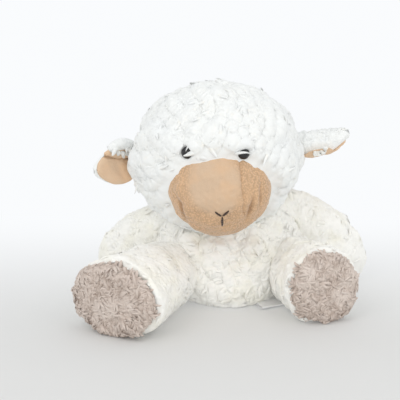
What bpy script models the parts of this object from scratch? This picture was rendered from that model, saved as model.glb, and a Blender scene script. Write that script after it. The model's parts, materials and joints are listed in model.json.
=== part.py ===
"""A seated plush sheep, built as it is sewn: fleece skins, the stuffing inside them, and what is stitched on.

Metres, +Z up. The sheep faces -Y, so its own left side is at +X. The origin is the middle of the
flat seat that it sits on. Each limb, ear and the tail has a ball or roll at its root that turns in
a pocket of the larger form, where the real toy's seam bends.
"""

import math

import bmesh
import bpy
import numpy as np
from mathutils import Matrix, Vector

# Cloth and clearances
SKIN_WALL = 0.004
SEAM_GAP = 0.0003
FLOOR_GAP = 0.0003
POCKET_GAP = 0.0009
OVERRUN = 0.006
FLAT_DEPTH = 0.0005

# Body
BODY_HALF_WIDTH = 0.073
BODY_HALF_DEPTH = 0.061
BODY_HEIGHT = 0.108
BODY_LEAN = 0.020
BODY_PROFILE_SHARES = (
    (0.0, 0.82, 0.86),
    (0.07, 0.92, 0.94),
    (0.22, 0.985, 0.99),
    (0.40, 1.0, 1.0),
    (0.58, 0.92, 0.91),
    (0.76, 0.77, 0.75),
    (0.90, 0.56, 0.55),
)
PELLET_HALF_WIDTH = 0.030
PELLET_HALF_DEPTH = 0.020
PELLET_HEIGHT = 0.021
PELLET_BACK = 0.013

# Neck
NECK_PLACE = (-0.008, -0.012, 0.078)
NECK_RADIUS = 0.022
NECK_GAP = 0.0006
HEAD_TURN = 20
HEAD_TILT = 10
HEAD_CLEARANCE = 0.0015

# Head
HEAD_CENTRE = (-0.013, -0.020, 0.139)
HEAD_HALF_WIDTH = 0.076
HEAD_HALF_DEPTH = 0.069
HEAD_HALF_HEIGHT = 0.068
HEAD_ROLL = 5.5
HEAD_NOD = 9

# Muzzle, measured from the head's centre along the nodding head's own axes
MUZZLE_FORWARD = 0.046
MUZZLE_DROP = 0.0135
MUZZLE_HALF_WIDTH = 0.049
MUZZLE_HALF_DEPTH = 0.042
MUZZLE_HALF_HEIGHT = 0.0435
STITCH_RADIUS = 0.0011
STITCH_PRESS = 0.0003
STITCH_PARTING = 0.0024
STITCH_END_SHARE = 0.7
NOSE_DROP = 0.0212
NOSE_SPREAD = 0.0062
NOSE_RISE = 0.0056
MOUTH_LENGTH = 0.0118

# Eyes
EYE_SPREAD = 0.025
EYE_RIGHT_RISE = 0.0315
EYE_LEFT_RISE = 0.027
EYE_RADIUS = 0.0057
EYE_DOME = 0.0046
EYE_RIM = 0.0010
EYE_TOP_SHARE = 0.12
SHANK_RADIUS = 0.00175
SHANK_LENGTH = 0.014
WASHER_RADIUS = 0.0085
WASHER_THICKNESS = 0.0013

# Ears
EAR_LENGTH = 0.052
EAR_HALF_WIDTH = 0.0185
EAR_HALF_ROOT = 0.011
EAR_PLY = 0.0034
EAR_CUP = 0.005
EAR_ROLL = 0.0042
EAR_SINK = 0.0014
EAR_FLOP = 20
EAR_RIGHT_PLACE = (-0.088, 0.0, 0.133)
EAR_RIGHT_HEADING = (-0.76, -0.63, -0.14)
EAR_RIGHT_FACING = (0.60, -0.78, 0.10)
EAR_LEFT_PLACE = (0.061, 0.0, 0.146)
EAR_LEFT_HEADING = (0.96, -0.12, 0.14)
EAR_LEFT_FACING = (0.16, 0.10, -0.98)

# Arms
ARM_ROOT_RADIUS = 0.019
ARM_END_RADIUS = 0.0235
ARM_BULGE = 0.0025
ARM_BACK = 0.014
ARM_LIFT = 40
ARM_OPENING = 0.009
ARM_RIGHT_ROOT = (-0.060, 0.064)
ARM_RIGHT_LENGTH = 0.059
ARM_RIGHT_LEAN = 56
ARM_RIGHT_BEND = -10
ARM_LEFT_ROOT = (0.058, 0.074)
ARM_LEFT_LENGTH = 0.076
ARM_LEFT_LEAN = 66
ARM_LEFT_BEND = -34

# Legs
LEG_ROOT_RADIUS = 0.027
FOOT_RIGHT_HALF_WIDTH = 0.044
FOOT_LEFT_HALF_WIDTH = 0.0335
FOOT_HALF_HEIGHT = 0.0335
FOOT_ROUND = 0.004
LEG_BULGE = 0.0005
SOLE_THICKNESS = 0.007
SOLE_EDGE = 0.0025
SOLE_CROWN_SHARES = ((0.93, 0.45), (0.70, 0.85))
LEG_LIFT = 20
LEG_RIGHT_ROOT = (-0.056, -0.036)
LEG_RIGHT_LENGTH = 0.103
LEG_RIGHT_SPLAY = 29
LEG_LEFT_ROOT = (0.062, -0.024)
LEG_LEFT_LENGTH = 0.0755
LEG_LEFT_SPLAY = 19

# Tail
TAIL_ROOT_RADIUS = 0.009
TAIL_END_RADIUS = 0.012
TAIL_LENGTH = 0.024
TAIL_HEIGHT = 0.042
TAIL_SINK = 0.003
TAIL_DROOP = 35
TAIL_LIFT = 25

# Care label
LABEL_WIDTH = 0.026
LABEL_LENGTH = 0.020
LABEL_PLY = 0.0005
LABEL_LOOP = 0.0012
LABEL_HEIGHT = 0.0012
LABEL_SIDE = 0.033

# Facets
BODY_SEGMENTS = 24
INNER_SEGMENTS = 14
LIMB_SEGMENTS = 20
CORE_SEGMENTS = 10
HEAD_RINGS = 12
ROOM_SEGMENTS = 24
NECK_SEGMENTS = 20
TRIM_SEGMENTS = 12
THREAD_SEGMENTS = 8

ACROSS = np.array((1.0, 0.0, 0.0))
BACKWARD = np.array((0.0, 1.0, 0.0))
UPWARD = np.array((0.0, 0.0, 1.0))


# Scene and materials


def clear_scene():
    for obj in list(bpy.data.objects):
        bpy.data.objects.remove(obj, do_unlink=True)


def finish(name, colour, roughness, sheen=0.0, coat=0.0):
    """A plain finish in the piece's own colour."""
    material = bpy.data.materials.new(name)
    material.use_nodes = True
    shader = material.node_tree.nodes["Principled BSDF"]
    shader.inputs["Base Color"].default_value = (*colour, 1.0)
    shader.inputs["Roughness"].default_value = roughness
    shader.inputs["Metallic"].default_value = 0.0
    shader.inputs["Sheen Weight"].default_value = sheen
    shader.inputs["Coat Weight"].default_value = coat
    material.diffuse_color = (*colour, 1.0)
    return material


def make_finishes():
    return {
        "fleece": finish("cream_fleece", (0.86, 0.85, 0.80), 0.95, sheen=0.4),
        "velour": finish("tan_velour", (0.66, 0.43, 0.24), 0.85, sheen=0.5),
        "sole": finish("taupe_plush", (0.60, 0.49, 0.43), 0.92, sheen=0.4),
        "stuffing": finish("polyester_stuffing", (0.90, 0.90, 0.88), 1.0),
        "pellets": finish("pellet_bag_cloth", (0.72, 0.70, 0.66), 0.9),
        "eye": finish("black_eye_plastic", (0.012, 0.012, 0.013), 0.12, coat=0.6),
        "washer": finish("white_washer_plastic", (0.80, 0.80, 0.78), 0.5),
        "thread": finish("brown_embroidery_thread", (0.060, 0.026, 0.012), 0.6),
        "label": finish("white_satin_ribbon", (0.88, 0.88, 0.88), 0.35, sheen=0.2),
    }


# Meshes


def loft(rings, start, end):
    """A closed mesh through rings of points (rings, segments, 3), drawn to a point at each end."""
    count, segments = rings.shape[:2]
    mesh = bmesh.new()
    loops = [[mesh.verts.new(point) for point in ring] for ring in rings]
    for here, there in zip(loops, loops[1:]):
        for i in range(segments):
            j = (i + 1) % segments
            mesh.faces.new((here[i], here[j], there[j], there[i]))
    for loop, tip in ((loops[0], start), (loops[count - 1], end)):
        middle = mesh.verts.new(tip)
        for i in range(segments):
            mesh.faces.new((loop[i], middle, loop[(i + 1) % segments]))
    bmesh.ops.recalc_face_normals(mesh, faces=mesh.faces)
    bmesh.ops.triangulate(mesh, faces=mesh.faces)
    return mesh


def add_object(name, mesh, material):
    data = bpy.data.meshes.new(name)
    mesh.to_mesh(data)
    mesh.free()
    data.shade_smooth()
    data.set_sharp_from_angle(angle=math.radians(40))
    obj = bpy.data.objects.new(name, data)
    bpy.context.scene.collection.objects.link(obj)
    if material:
        data.materials.append(material)
    return obj


def add_cutter(name, mesh):
    """A shape that is only taken away from others."""
    obj = add_object(name, mesh, None)
    obj.hide_render = True
    obj.display_type = "WIRE"
    return obj


def cut(obj, *cutters, solver="EXACT"):
    for cutter in cutters:
        modifier = obj.modifiers.new(f"cut_{cutter.name}", "BOOLEAN")
        modifier.operation = "DIFFERENCE"
        modifier.solver = solver
        modifier.object = cutter
    return obj


def fuse(obj, other):
    modifier = obj.modifiers.new(f"fuse_{other.name}", "BOOLEAN")
    modifier.operation = "UNION"
    modifier.solver = "EXACT"
    modifier.object = other
    return obj


def add_pivot(name, place, parent=None):
    """An empty on a joint's axis, which the moving pieces hang from."""
    pivot = bpy.data.objects.new(name, None)
    bpy.context.scene.collection.objects.link(pivot)
    pivot.parent = parent
    pivot.location = Vector(place) - (parent.matrix_world.translation if parent else Vector())
    bpy.context.view_layer.update()
    return pivot


def hang(pivot, *pieces):
    """Gives each piece, made in world coordinates, the pivot as its origin and parent."""
    for piece in pieces:
        piece.data.transform(Matrix.Translation(-pivot.matrix_world.translation))
        piece.parent = pivot


def unit(vector):
    vector = np.asarray(vector, float)
    return vector / np.linalg.norm(vector)


def turn_about(axis, degrees):
    """A 3 by 3 rotation about an axis through the origin."""
    return np.array(Matrix.Rotation(math.radians(degrees), 3, Vector(axis)))


def circle_angles(segments):
    return 2 * math.pi * np.arange(segments) / segments


def ellipsoid(centre, halves, turn, segments, rings):
    """A closed ellipsoid whose own axes are the columns of turn."""
    mesh = bmesh.new()
    bmesh.ops.create_uvsphere(mesh, u_segments=segments, v_segments=rings, radius=1)
    for vertex in mesh.verts:
        vertex.co = Vector(np.asarray(centre) + turn @ (np.array(vertex.co) * halves))
    bmesh.ops.triangulate(mesh, faces=mesh.faces)
    return mesh


def turned(profile, place, heading, segments):
    """A profile of (radius, height) turned about heading, with a point at each end of the axis."""
    heading = unit(heading)
    side = unit(np.cross(heading, UPWARD))
    other = np.cross(heading, side)
    angles = circle_angles(segments)
    spokes = np.outer(np.cos(angles), side) + np.outer(np.sin(angles), other)
    rings = np.array([place + heading * height + spokes * radius for radius, height in profile])
    return loft(rings, place + heading * profile[0][1], place + heading * profile[-1][1])


def capsule(ends, radius, segments):
    """A rod with round ends."""
    start, end = (np.asarray(point, float) for point in ends)
    length = np.linalg.norm(end - start)
    bends = np.radians((25, 60, 90))
    profile = [(radius * math.sin(b), -radius * math.cos(b)) for b in bends]
    profile += [(radius * math.sin(b), length + radius * math.cos(b)) for b in bends[::-1]]
    profile[0:0] = [(radius * math.sin(math.radians(5)), -radius)]
    profile += [(radius * math.sin(math.radians(5)), length + radius)]
    return turned(profile, start, end - start, segments)


# Limbs


class Limb:
    """A stuffed form that grows from a ball at its pivot along a bent line.

    The line lies in the plane across the joint's axis. At share s of the length, the half sizes run
    evenly from the root's radius to the end's, and swell by bulge times sin(pi s) between.
    """

    ball_angles = (22, 44, 66)
    tube_shares = (0.0, 0.2, 0.4, 0.6, 0.8, 1.0)
    tip_angles = (30, 58, 78)

    def __init__(self, pivot, axis, heading, length, bend, root, end_across, end_up, bulge, blunt):
        self.pivot = np.asarray(pivot, float)
        self.axis = unit(axis)
        self.heading = unit(heading)
        self.rise = np.cross(self.axis, self.heading)
        self.length = length
        self.bend = math.radians(bend)
        self.root = root
        self.end_across = end_across
        self.end_up = end_up
        self.bulge = bulge
        self.blunt = blunt

    def direction(self, share):
        angle = self.bend * share
        return self.heading * math.cos(angle) + self.rise * math.sin(angle)

    def centre(self, share):
        """The line's point: the sum of many short steps, each in its own direction."""
        steps = 40
        middles = (np.arange(steps) + 0.5) / steps * share
        runs = np.array([self.direction(middle) for middle in middles])
        return self.pivot + runs.sum(axis=0) * self.length * share / steps

    def halves(self, share, inset):
        swell = self.bulge * math.sin(math.pi * share)
        across = self.root + (self.end_across - self.root) * share + swell
        up = self.root + (self.end_up - self.root) * share + swell
        return across - inset, up - inset

    def ring(self, middle, direction, across, up, angles):
        lift = np.cross(self.axis, direction)
        return (
            middle
            + np.outer(np.cos(angles) * across, self.axis)
            + np.outer(np.sin(angles) * up, lift)
        )

    def ball_rings(self, inset, heading, angles):
        """The back of the root's ball, in rings about heading."""
        root = self.root - inset
        return [
            self.ring(
                self.pivot - heading * root * math.cos(polar),
                heading,
                root * math.sin(polar),
                root * math.sin(polar),
                angles,
            )
            for polar in np.radians(self.ball_angles)
        ]

    def form(self, inset, segments, past_end=0.0):
        """The limb's surface moved inwards by inset: its rings and its two end points."""
        angles = circle_angles(segments)
        rings = self.ball_rings(inset, self.heading, angles)
        for share in self.tube_shares:
            across, up = self.halves(share, inset)
            rings.append(self.ring(self.centre(share), self.direction(share), across, up, angles))
        start = self.pivot - self.heading * (self.root - inset)
        last, out = self.centre(1.0), self.direction(1.0)
        across, up = self.halves(1.0, inset)
        if self.blunt:
            rings[-1] = rings[-1] - out * self.blunt
            less = self.blunt
            rings.append(
                self.ring(last + out * past_end, out, across - less / 2, up - less / 2, angles)
            )
            return np.array(rings), start, last + out * past_end
        reach = (across + up) / 2
        for tip in np.radians(self.tip_angles):
            middle = last + out * reach * math.sin(tip)
            rings.append(
                self.ring(middle, out, across * math.cos(tip), up * math.cos(tip), angles)
            )
        return np.array(rings), start, last + out * reach

    def solid(self, inset, segments, past_end=0.0, floor=None):
        rings, start, end = self.form(inset, segments, past_end)
        if floor is not None:
            rings[..., 2] = np.maximum(rings[..., 2], floor)
        return loft(rings, start, end)

    def swept(self, grow, segments, low, high, past_end=0.0, steps=3):
        """The room that the limb needs between two angles about its axis.

        The ball stays as it is. Beyond it each ring's upper half stands at the high angle and its
        lower half at the low one, joined along the arcs that the ring's side points describe.
        """
        rings, start, end = self.form(-grow, segments, past_end)
        rings = rings[len(self.ball_angles) :]
        half = segments // 2
        turns = [turn_about(self.axis, angle) for angle in np.linspace(high, low, steps + 1)]

        def moved(points, turn):
            return self.pivot + (points - self.pivot) @ turn.T

        room = []
        for ring in rings:
            upper = moved(ring[: half + 1], turns[0])
            near = [moved(ring[half : half + 1], turn) for turn in turns[1:-1]]
            lower = moved(np.concatenate([ring[half:], ring[:1]]), turns[-1])
            far = [moved(ring[:1], turn) for turn in turns[-2:0:-1]]
            room.append(np.concatenate([upper, *near, lower, *far]))
        between = turn_about(self.axis, (low + high) / 2)
        total = len(room[0])
        angles = math.pi / 2 + 2 * math.pi * (np.arange(total) - half / 2) / total
        ball = self.ball_rings(-grow, between @ self.heading, angles)
        return loft(np.array(ball + room), moved(start, between), moved(end, between))


def make_arm(side):
    right = side == "right"
    sign = -1 if right else 1
    root = ARM_RIGHT_ROOT if right else ARM_LEFT_ROOT
    lean = math.radians(ARM_RIGHT_LEAN if right else ARM_LEFT_LEAN)
    return Limb(
        pivot=(root[0], ARM_BACK, root[1]),
        axis=-sign * BACKWARD,
        heading=sign * math.sin(lean) * ACROSS - math.cos(lean) * UPWARD,
        length=ARM_RIGHT_LENGTH if right else ARM_LEFT_LENGTH,
        bend=ARM_RIGHT_BEND if right else ARM_LEFT_BEND,
        root=ARM_ROOT_RADIUS,
        end_across=ARM_END_RADIUS,
        end_up=ARM_END_RADIUS,
        bulge=ARM_BULGE,
        blunt=0.0,
    )


def make_leg(side):
    right = side == "right"
    sign = -1 if right else 1
    root = LEG_RIGHT_ROOT if right else LEG_LEFT_ROOT
    length = LEG_RIGHT_LENGTH if right else LEG_LEFT_LENGTH
    splay = math.radians(LEG_RIGHT_SPLAY if right else LEG_LEFT_SPLAY)
    outward = sign * math.sin(splay) * ACROSS - math.cos(splay) * BACKWARD
    climb = math.asin((FOOT_HALF_HEIGHT - LEG_ROOT_RADIUS) / length)
    return Limb(
        pivot=(*root, LEG_ROOT_RADIUS + FLOOR_GAP - FLAT_DEPTH),
        axis=np.cross(outward, UPWARD),
        heading=outward * math.cos(climb) + UPWARD * math.sin(climb),
        length=length,
        bend=0.0,
        root=LEG_ROOT_RADIUS,
        end_across=FOOT_RIGHT_HALF_WIDTH if right else FOOT_LEFT_HALF_WIDTH,
        end_up=FOOT_HALF_HEIGHT,
        bulge=LEG_BULGE,
        blunt=FOOT_ROUND,
    )


def make_tail():
    droop = math.radians(TAIL_DROOP)
    heading = BACKWARD * math.cos(droop) - UPWARD * math.sin(droop)
    return Limb(
        pivot=(0.0, body_back(TAIL_HEIGHT) - TAIL_SINK, TAIL_HEIGHT),
        axis=ACROSS,
        heading=heading,
        length=TAIL_LENGTH,
        bend=0.0,
        root=TAIL_ROOT_RADIUS,
        end_across=TAIL_END_RADIUS,
        end_up=TAIL_END_RADIUS,
        bulge=0.0,
        blunt=0.0,
    )


# Body


def body_halves(height):
    """The body's half width and half depth, and how far back its middle lies, at a height."""
    table = np.array((*BODY_PROFILE_SHARES, (1.0, 0.0, 0.0)))
    share = height / BODY_HEIGHT
    width = np.interp(share, table[:, 0], table[:, 1]) * BODY_HALF_WIDTH
    depth = np.interp(share, table[:, 0], table[:, 2]) * BODY_HALF_DEPTH
    return width, depth, BODY_LEAN * share**2


def body_back(height):
    _, depth, back = body_halves(height)
    return back + depth


def body_form(inset, segments):
    """A pear in level rings, moved inwards by inset, flat below."""
    angles = circle_angles(segments)
    rings = []
    top = BODY_HEIGHT - inset
    for share, *_ in BODY_PROFILE_SHARES:
        height = inset + (top - inset) * share
        width, depth, back = body_halves(BODY_HEIGHT * share)
        ring = np.empty((segments, 3))
        ring[:, 0] = (width - inset) * np.cos(angles)
        ring[:, 1] = back + (depth - inset) * np.sin(angles)
        ring[:, 2] = height
        rings.append(ring)
    return loft(np.array(rings), (0.0, 0.0, inset), (0.0, BODY_LEAN, top))


def pellet_form(grow, below):
    """A low dome that lies in the seat."""
    angles = circle_angles(INNER_SEGMENTS)
    floor = SKIN_WALL + SEAM_GAP
    rings = [(1.0, floor - below)] if below else []
    for lift in np.radians((0, 35, 65)):
        rings.append((math.cos(lift), floor + (PELLET_HEIGHT + grow) * math.sin(lift)))
    points = [
        np.column_stack(
            [
                (PELLET_HALF_WIDTH + grow) * size * np.cos(angles),
                PELLET_BACK + (PELLET_HALF_DEPTH + grow) * size * np.sin(angles),
                np.full(INNER_SEGMENTS, height),
            ]
        )
        for size, height in rings
    ]
    base = (0.0, PELLET_BACK, floor - below)
    return loft(np.array(points), base, (0.0, PELLET_BACK, floor + PELLET_HEIGHT + grow))


# Head


def head_turn():
    """The head's own axes: nodded forwards, then rolled to its right."""
    return turn_about(BACKWARD, -HEAD_ROLL) @ turn_about(ACROSS, HEAD_NOD)


def head_halves(inset):
    return np.array((HEAD_HALF_WIDTH, HEAD_HALF_DEPTH, HEAD_HALF_HEIGHT)) - inset


def head_form(inset, segments, rings):
    return ellipsoid(HEAD_CENTRE, head_halves(inset), head_turn(), segments, rings)


def muzzle_centre():
    return np.array((0.0, -MUZZLE_FORWARD, -MUZZLE_DROP))


def muzzle_halves(inset):
    return np.array((MUZZLE_HALF_WIDTH, MUZZLE_HALF_DEPTH, MUZZLE_HALF_HEIGHT)) - inset


def muzzle_form(inset, segments, rings):
    centre = np.array(HEAD_CENTRE) + head_turn() @ muzzle_centre()
    return ellipsoid(centre, muzzle_halves(inset), head_turn(), segments, rings)


def front_of(centre, halves, side, rise):
    """The front of an ellipsoid at a place across and up: the point, and the way that it faces."""
    x, z = side - centre[0], rise - centre[2]
    depth = halves[1] * math.sqrt(1 - (x / halves[0]) ** 2 - (z / halves[2]) ** 2)
    point = np.array((side, centre[1] - depth, rise))
    facing = unit((point - centre) / halves**2)
    return np.array(HEAD_CENTRE) + head_turn() @ point, head_turn() @ facing


def head_room(grow):
    """All that the head passes through as it turns and tilts back about the neck.

    The neck's middle lies inside the head, so the room is a surface about it: in each direction it
    reaches as far as the furthest of the head's poses does.
    """
    segments = ROOM_SEGMENTS
    polar = np.radians((14, 28, 42, 55, 68, 80, 92, 104, 118, 135, 155))
    angles = circle_angles(segments)
    rays = np.stack(
        [
            np.outer(np.sin(polar), np.cos(angles)),
            np.outer(np.sin(polar), np.sin(angles)),
            -np.outer(np.cos(polar), np.ones(segments)),
        ],
        axis=-1,
    )
    neck = np.array(NECK_PLACE)
    halves = head_halves(-grow)
    start = head_turn().T @ (neck - np.array(HEAD_CENTRE)) / halves

    def reach(rays):
        """The furthest of the poses' distances from the neck's middle to the head's surface."""
        furthest = np.zeros(rays.shape[:-1])
        for yaw in np.linspace(-HEAD_TURN, HEAD_TURN, 5):
            for pitch in np.linspace(0, HEAD_TILT, 4):
                pose = turn_about(UPWARD, yaw) @ turn_about(ACROSS, -pitch)
                way = rays @ pose @ head_turn() / halves
                a = (way**2).sum(axis=-1)
                b = way @ start
                c = start @ start - 1
                furthest = np.maximum(furthest, (np.sqrt(b * b - a * c) - b) / a)
        return furthest

    rings = neck + rays * reach(rays)[..., None]
    ends = [neck + ray * reach(ray[None])[0] for ray in (-UPWARD, UPWARD)]
    return loft(rings, *ends)


def eye_profile(grow=0.0):
    """A domed button on a shank, from the shank's end to the dome's top."""
    profile = [(SHANK_RADIUS + grow, -SHANK_LENGTH), (SHANK_RADIUS + grow, 0.0)]
    profile += [(EYE_RADIUS, 0.0), (EYE_RADIUS, EYE_RIM)]
    for lift in np.radians((28, 52, 74)):
        profile.append((EYE_RADIUS * math.cos(lift), EYE_RIM + EYE_DOME * math.sin(lift)))
    return profile + [(EYE_TOP_SHARE * EYE_RADIUS, EYE_RIM + EYE_DOME)]


def make_washer(name, place, facing, material):
    """A ring pressed on the shank behind the skin."""
    bore = SHANK_RADIUS + SEAM_GAP
    near = -(SKIN_WALL + SEAM_GAP)
    profile = [(bore, near - WASHER_THICKNESS), (WASHER_RADIUS, near - WASHER_THICKNESS)]
    profile += [(WASHER_RADIUS, near), (bore, near)]
    heading = unit(facing)
    side = unit(np.cross(heading, UPWARD))
    other = np.cross(heading, side)
    mesh = bmesh.new()
    loops = []
    for angle in circle_angles(TRIM_SEGMENTS):
        spoke = side * math.cos(angle) + other * math.sin(angle)
        loops.append([mesh.verts.new(place + heading * h + spoke * r) for r, h in profile])
    for here, there in zip(loops, loops[1:] + loops[:1]):
        for i in range(len(profile)):
            j = (i + 1) % len(profile)
            mesh.faces.new((here[i], here[j], there[j], there[i]))
    bmesh.ops.recalc_face_normals(mesh, faces=mesh.faces)
    return add_object(name, mesh, material)


# Ears


class Ear:
    """A leaf of two plies on a roll. Its own axes are heading, width and facing."""

    length_shares = (0.16, 0.30, 0.46, 0.62, 0.78, 0.90, 0.97)
    width_shares = (0.72, 0.90, 1.0, 0.97, 0.80, 0.54, 0.28)

    def __init__(self, place, heading, facing):
        self.heading = unit(heading)
        self.width = unit(np.cross(facing, self.heading))
        self.facing = np.cross(self.heading, self.width)
        self.middle = self.seat(np.array(place))

    def seat(self, place):
        """The roll's middle: on the head's surface at this side and height, sunk a little."""
        head, turn, halves = np.array(HEAD_CENTRE), head_turn(), head_halves(0.0)
        local = turn.T @ (place - head)
        outward = unit(local / halves**2)
        onto = local / np.linalg.norm(local / halves)
        point = head + turn @ onto
        return point + turn @ outward * (EAR_ROLL - EAR_SINK)

    def point(self, along, wide, thick):
        """A place in the ear; the leaf is cupped towards the side that it faces."""
        cup = EAR_CUP * (wide / EAR_HALF_WIDTH) ** 2 * max(0.0, min(1.0, along / EAR_HALF_WIDTH))
        return self.middle + self.heading * along + self.width * wide + self.facing * (thick + cup)

    def leaf_ring(self, along, half, outer, inner):
        """A ring across the leaf: crowned on its outer face, and level at inner on the other."""
        across = np.linspace(-1, 1, 7)
        crown = inner + (outer - inner) * np.sqrt(np.maximum(0.0, 1 - across**2))
        face = [self.point(along, half * a, c) for a, c in zip(across, crown)]
        return np.array(face + [self.point(along, half * a, inner) for a in across[-2:0:-1]])

    def ply(self, front):
        """Half of the leaf. The back one begins in the roll."""
        sign = 1 if front else -1
        inner = sign * SEAM_GAP / 2
        rings = []
        if not front:
            for lift in np.radians((-75, -40, 0, 30)):
                thick = EAR_ROLL * math.cos(lift)
                rings.append(
                    self.leaf_ring(EAR_ROLL * math.sin(lift), EAR_HALF_ROOT, -thick, thick)
                )
        for along_share, wide_share in zip(self.length_shares, self.width_shares):
            half = EAR_HALF_WIDTH * wide_share
            rings.append(self.leaf_ring(EAR_LENGTH * along_share, half, inner + sign * EAR_PLY, inner))
        tip = self.point(EAR_LENGTH, 0.0, inner + sign * EAR_PLY / 2)
        return loft(np.array(rings), rings[0].mean(axis=0), tip)

    def roll(self, radius, segments):
        ends = [self.middle + self.width * reach for reach in (-EAR_HALF_ROOT, EAR_HALF_ROOT)]
        return capsule(ends, radius, segments)


def make_label():
    """A ribbon folded once into a flat loop, which comes out under the body's front edge."""
    outer, inner = LABEL_LOOP / 2 + LABEL_PLY, LABEL_LOOP / 2
    width, depth, _ = body_halves(LABEL_HEIGHT + 2 * outer)
    front = -depth * math.sqrt(1 - (LABEL_SIDE / width) ** 2)
    heading = unit((LABEL_SIDE / width**2, front / depth**2, 0.0))
    side = np.cross(heading, UPWARD)
    start = np.array((LABEL_SIDE, front, LABEL_HEIGHT)) + heading * SEAM_GAP - side * LABEL_WIDTH / 2
    bends = np.radians(np.linspace(-90, 90, 7))
    fold = [(LABEL_LENGTH + outer * math.cos(b), outer + outer * math.sin(b)) for b in bends]
    lining = [(LABEL_LENGTH + inner * math.cos(b), outer + inner * math.sin(b)) for b in bends[::-1]]
    outline = [(0.0, 0.0), *fold, (0.0, 2 * outer), (0.0, 2 * outer - LABEL_PLY), *lining]
    outline += [(0.0, LABEL_PLY)]
    mesh = bmesh.new()
    face = mesh.faces.new([mesh.verts.new(start + heading * a + UPWARD * z) for a, z in outline])
    grown = bmesh.ops.extrude_face_region(mesh, geom=[face])
    moved = [item for item in grown["geom"] if isinstance(item, bmesh.types.BMVert)]
    bmesh.ops.translate(mesh, verts=moved, vec=Vector(side * LABEL_WIDTH))
    bmesh.ops.recalc_face_normals(mesh, faces=mesh.faces)
    bmesh.ops.triangulate(mesh, faces=mesh.faces)
    return mesh


# Assembly


def build_limbs(finishes):
    """The arms, legs and tail: skins, stuffing and soles. Gives each limb with its joint's range."""
    limbs = {}
    for side in ("left", "right"):
        arm = make_arm(side)
        limbs[f"arm_{side}"] = (arm, 0, ARM_LIFT)
        pivot = add_pivot(f"arm_{side}_pivot", arm.pivot)
        skin = add_object(f"arm_skin_{side}", arm.solid(0.0, LIMB_SEGMENTS), finishes["fleece"])
        hollow = add_cutter(f"arm_hollow_{side}", arm.solid(SKIN_WALL, CORE_SEGMENTS))
        mouth = [(ARM_OPENING, 0.0), (ARM_OPENING, ARM_ROOT_RADIUS + OVERRUN)]
        opening = add_cutter(
            f"arm_opening_{side}", turned(mouth, arm.pivot, -arm.heading, CORE_SEGMENTS)
        )
        stuffing = add_object(
            f"arm_stuffing_{side}",
            arm.solid(SKIN_WALL + SEAM_GAP, CORE_SEGMENTS),
            finishes["stuffing"],
        )
        cut(skin, hollow, opening)
        hang(pivot, skin, stuffing)

        leg = make_leg(side)
        limbs[f"leg_{side}"] = (leg, 0, LEG_LIFT)
        pivot = add_pivot(f"leg_{side}_pivot", leg.pivot)
        skin = add_object(
            f"leg_skin_{side}", leg.solid(0.0, LIMB_SEGMENTS, floor=FLOOR_GAP), finishes["fleece"]
        )
        hollow = add_cutter(f"leg_hollow_{side}", leg.solid(SKIN_WALL, CORE_SEGMENTS, OVERRUN))
        stuffing = add_object(
            f"leg_stuffing_{side}",
            leg.solid(SKIN_WALL + SEAM_GAP, CORE_SEGMENTS, -SEAM_GAP),
            finishes["stuffing"],
        )
        sole = add_object(f"sole_{side}", sole_form(leg), finishes["sole"])
        cut(skin, hollow)
        hang(pivot, skin, stuffing, sole)

    tail = make_tail()
    limbs["tail"] = (tail, 0, TAIL_LIFT)
    pivot = add_pivot("tail_pivot", tail.pivot)
    hang(pivot, add_object("tail", tail.solid(0.0, CORE_SEGMENTS), finishes["fleece"]))
    return limbs


def sole_form(leg):
    """A crowned disc that closes the foot's open end."""
    out, last = leg.direction(1.0), leg.centre(1.0)
    across, up = leg.halves(1.0, FOOT_ROUND / 2)
    angles = circle_angles(LIMB_SEGMENTS)
    rings = []
    crown = [(1.0, 0.0), *SOLE_CROWN_SHARES]
    levels = [(1.0, 0.0)] + [
        (size, SOLE_EDGE + (SOLE_THICKNESS - SOLE_EDGE) * share) for size, share in crown
    ]
    for size, high in levels:
        middle = last + out * (SEAM_GAP + high)
        rings.append(leg.ring(middle, out, across * size, up * size, angles))
    rings = np.array(rings)
    rings[..., 2] = np.maximum(rings[..., 2], FLOOR_GAP)
    return loft(rings, last + out * SEAM_GAP, last + out * (SEAM_GAP + SOLE_THICKNESS))


def build_body(finishes, limbs):
    """The body's skin, stuffing and pellets, and its label.

    The limbs' rooms cross each other at grazing angles, where the exact solver leaves slits open.
    """

    def rooms(name, extra, segments):
        """The limbs' and head's room, each grown by the same amount more."""
        made = [
            add_cutter(
                f"{key}_{name}",
                limb.swept(POCKET_GAP + extra, segments, low, high, past_end=OVERRUN),
            )
            for key, (limb, low, high) in limbs.items()
        ]
        return made + [add_cutter(f"head_{name}", head_room(HEAD_CLEARANCE + extra))]

    socket = add_cutter(
        "neck_socket",
        ellipsoid(
            NECK_PLACE, np.full(3, NECK_RADIUS + NECK_GAP), np.eye(3), NECK_SEGMENTS, NECK_SEGMENTS // 2
        ),
    )
    hollow = add_cutter("body_hollow", body_form(SKIN_WALL, INNER_SEGMENTS))
    cut(hollow, *rooms("room_behind_skin", SKIN_WALL, CORE_SEGMENTS), solver="MANIFOLD")
    skin = add_object("body_skin", body_form(0.0, BODY_SEGMENTS), finishes["fleece"])
    cut(skin, hollow, *rooms("room", 0.0, LIMB_SEGMENTS), socket, solver="MANIFOLD")

    stuffing = add_object(
        "body_stuffing", body_form(SKIN_WALL + SEAM_GAP, INNER_SEGMENTS), finishes["stuffing"]
    )
    bag_room = add_cutter("pellet_room", pellet_form(SEAM_GAP, OVERRUN))
    behind = rooms("room_behind_gap", SKIN_WALL + SEAM_GAP, CORE_SEGMENTS)
    cut(stuffing, *behind, socket, bag_room, solver="MANIFOLD")
    add_object("pellet_bag", pellet_form(0.0, 0.0), finishes["pellets"])
    add_object("care_label", make_label(), finishes["label"])
    return socket


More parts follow.
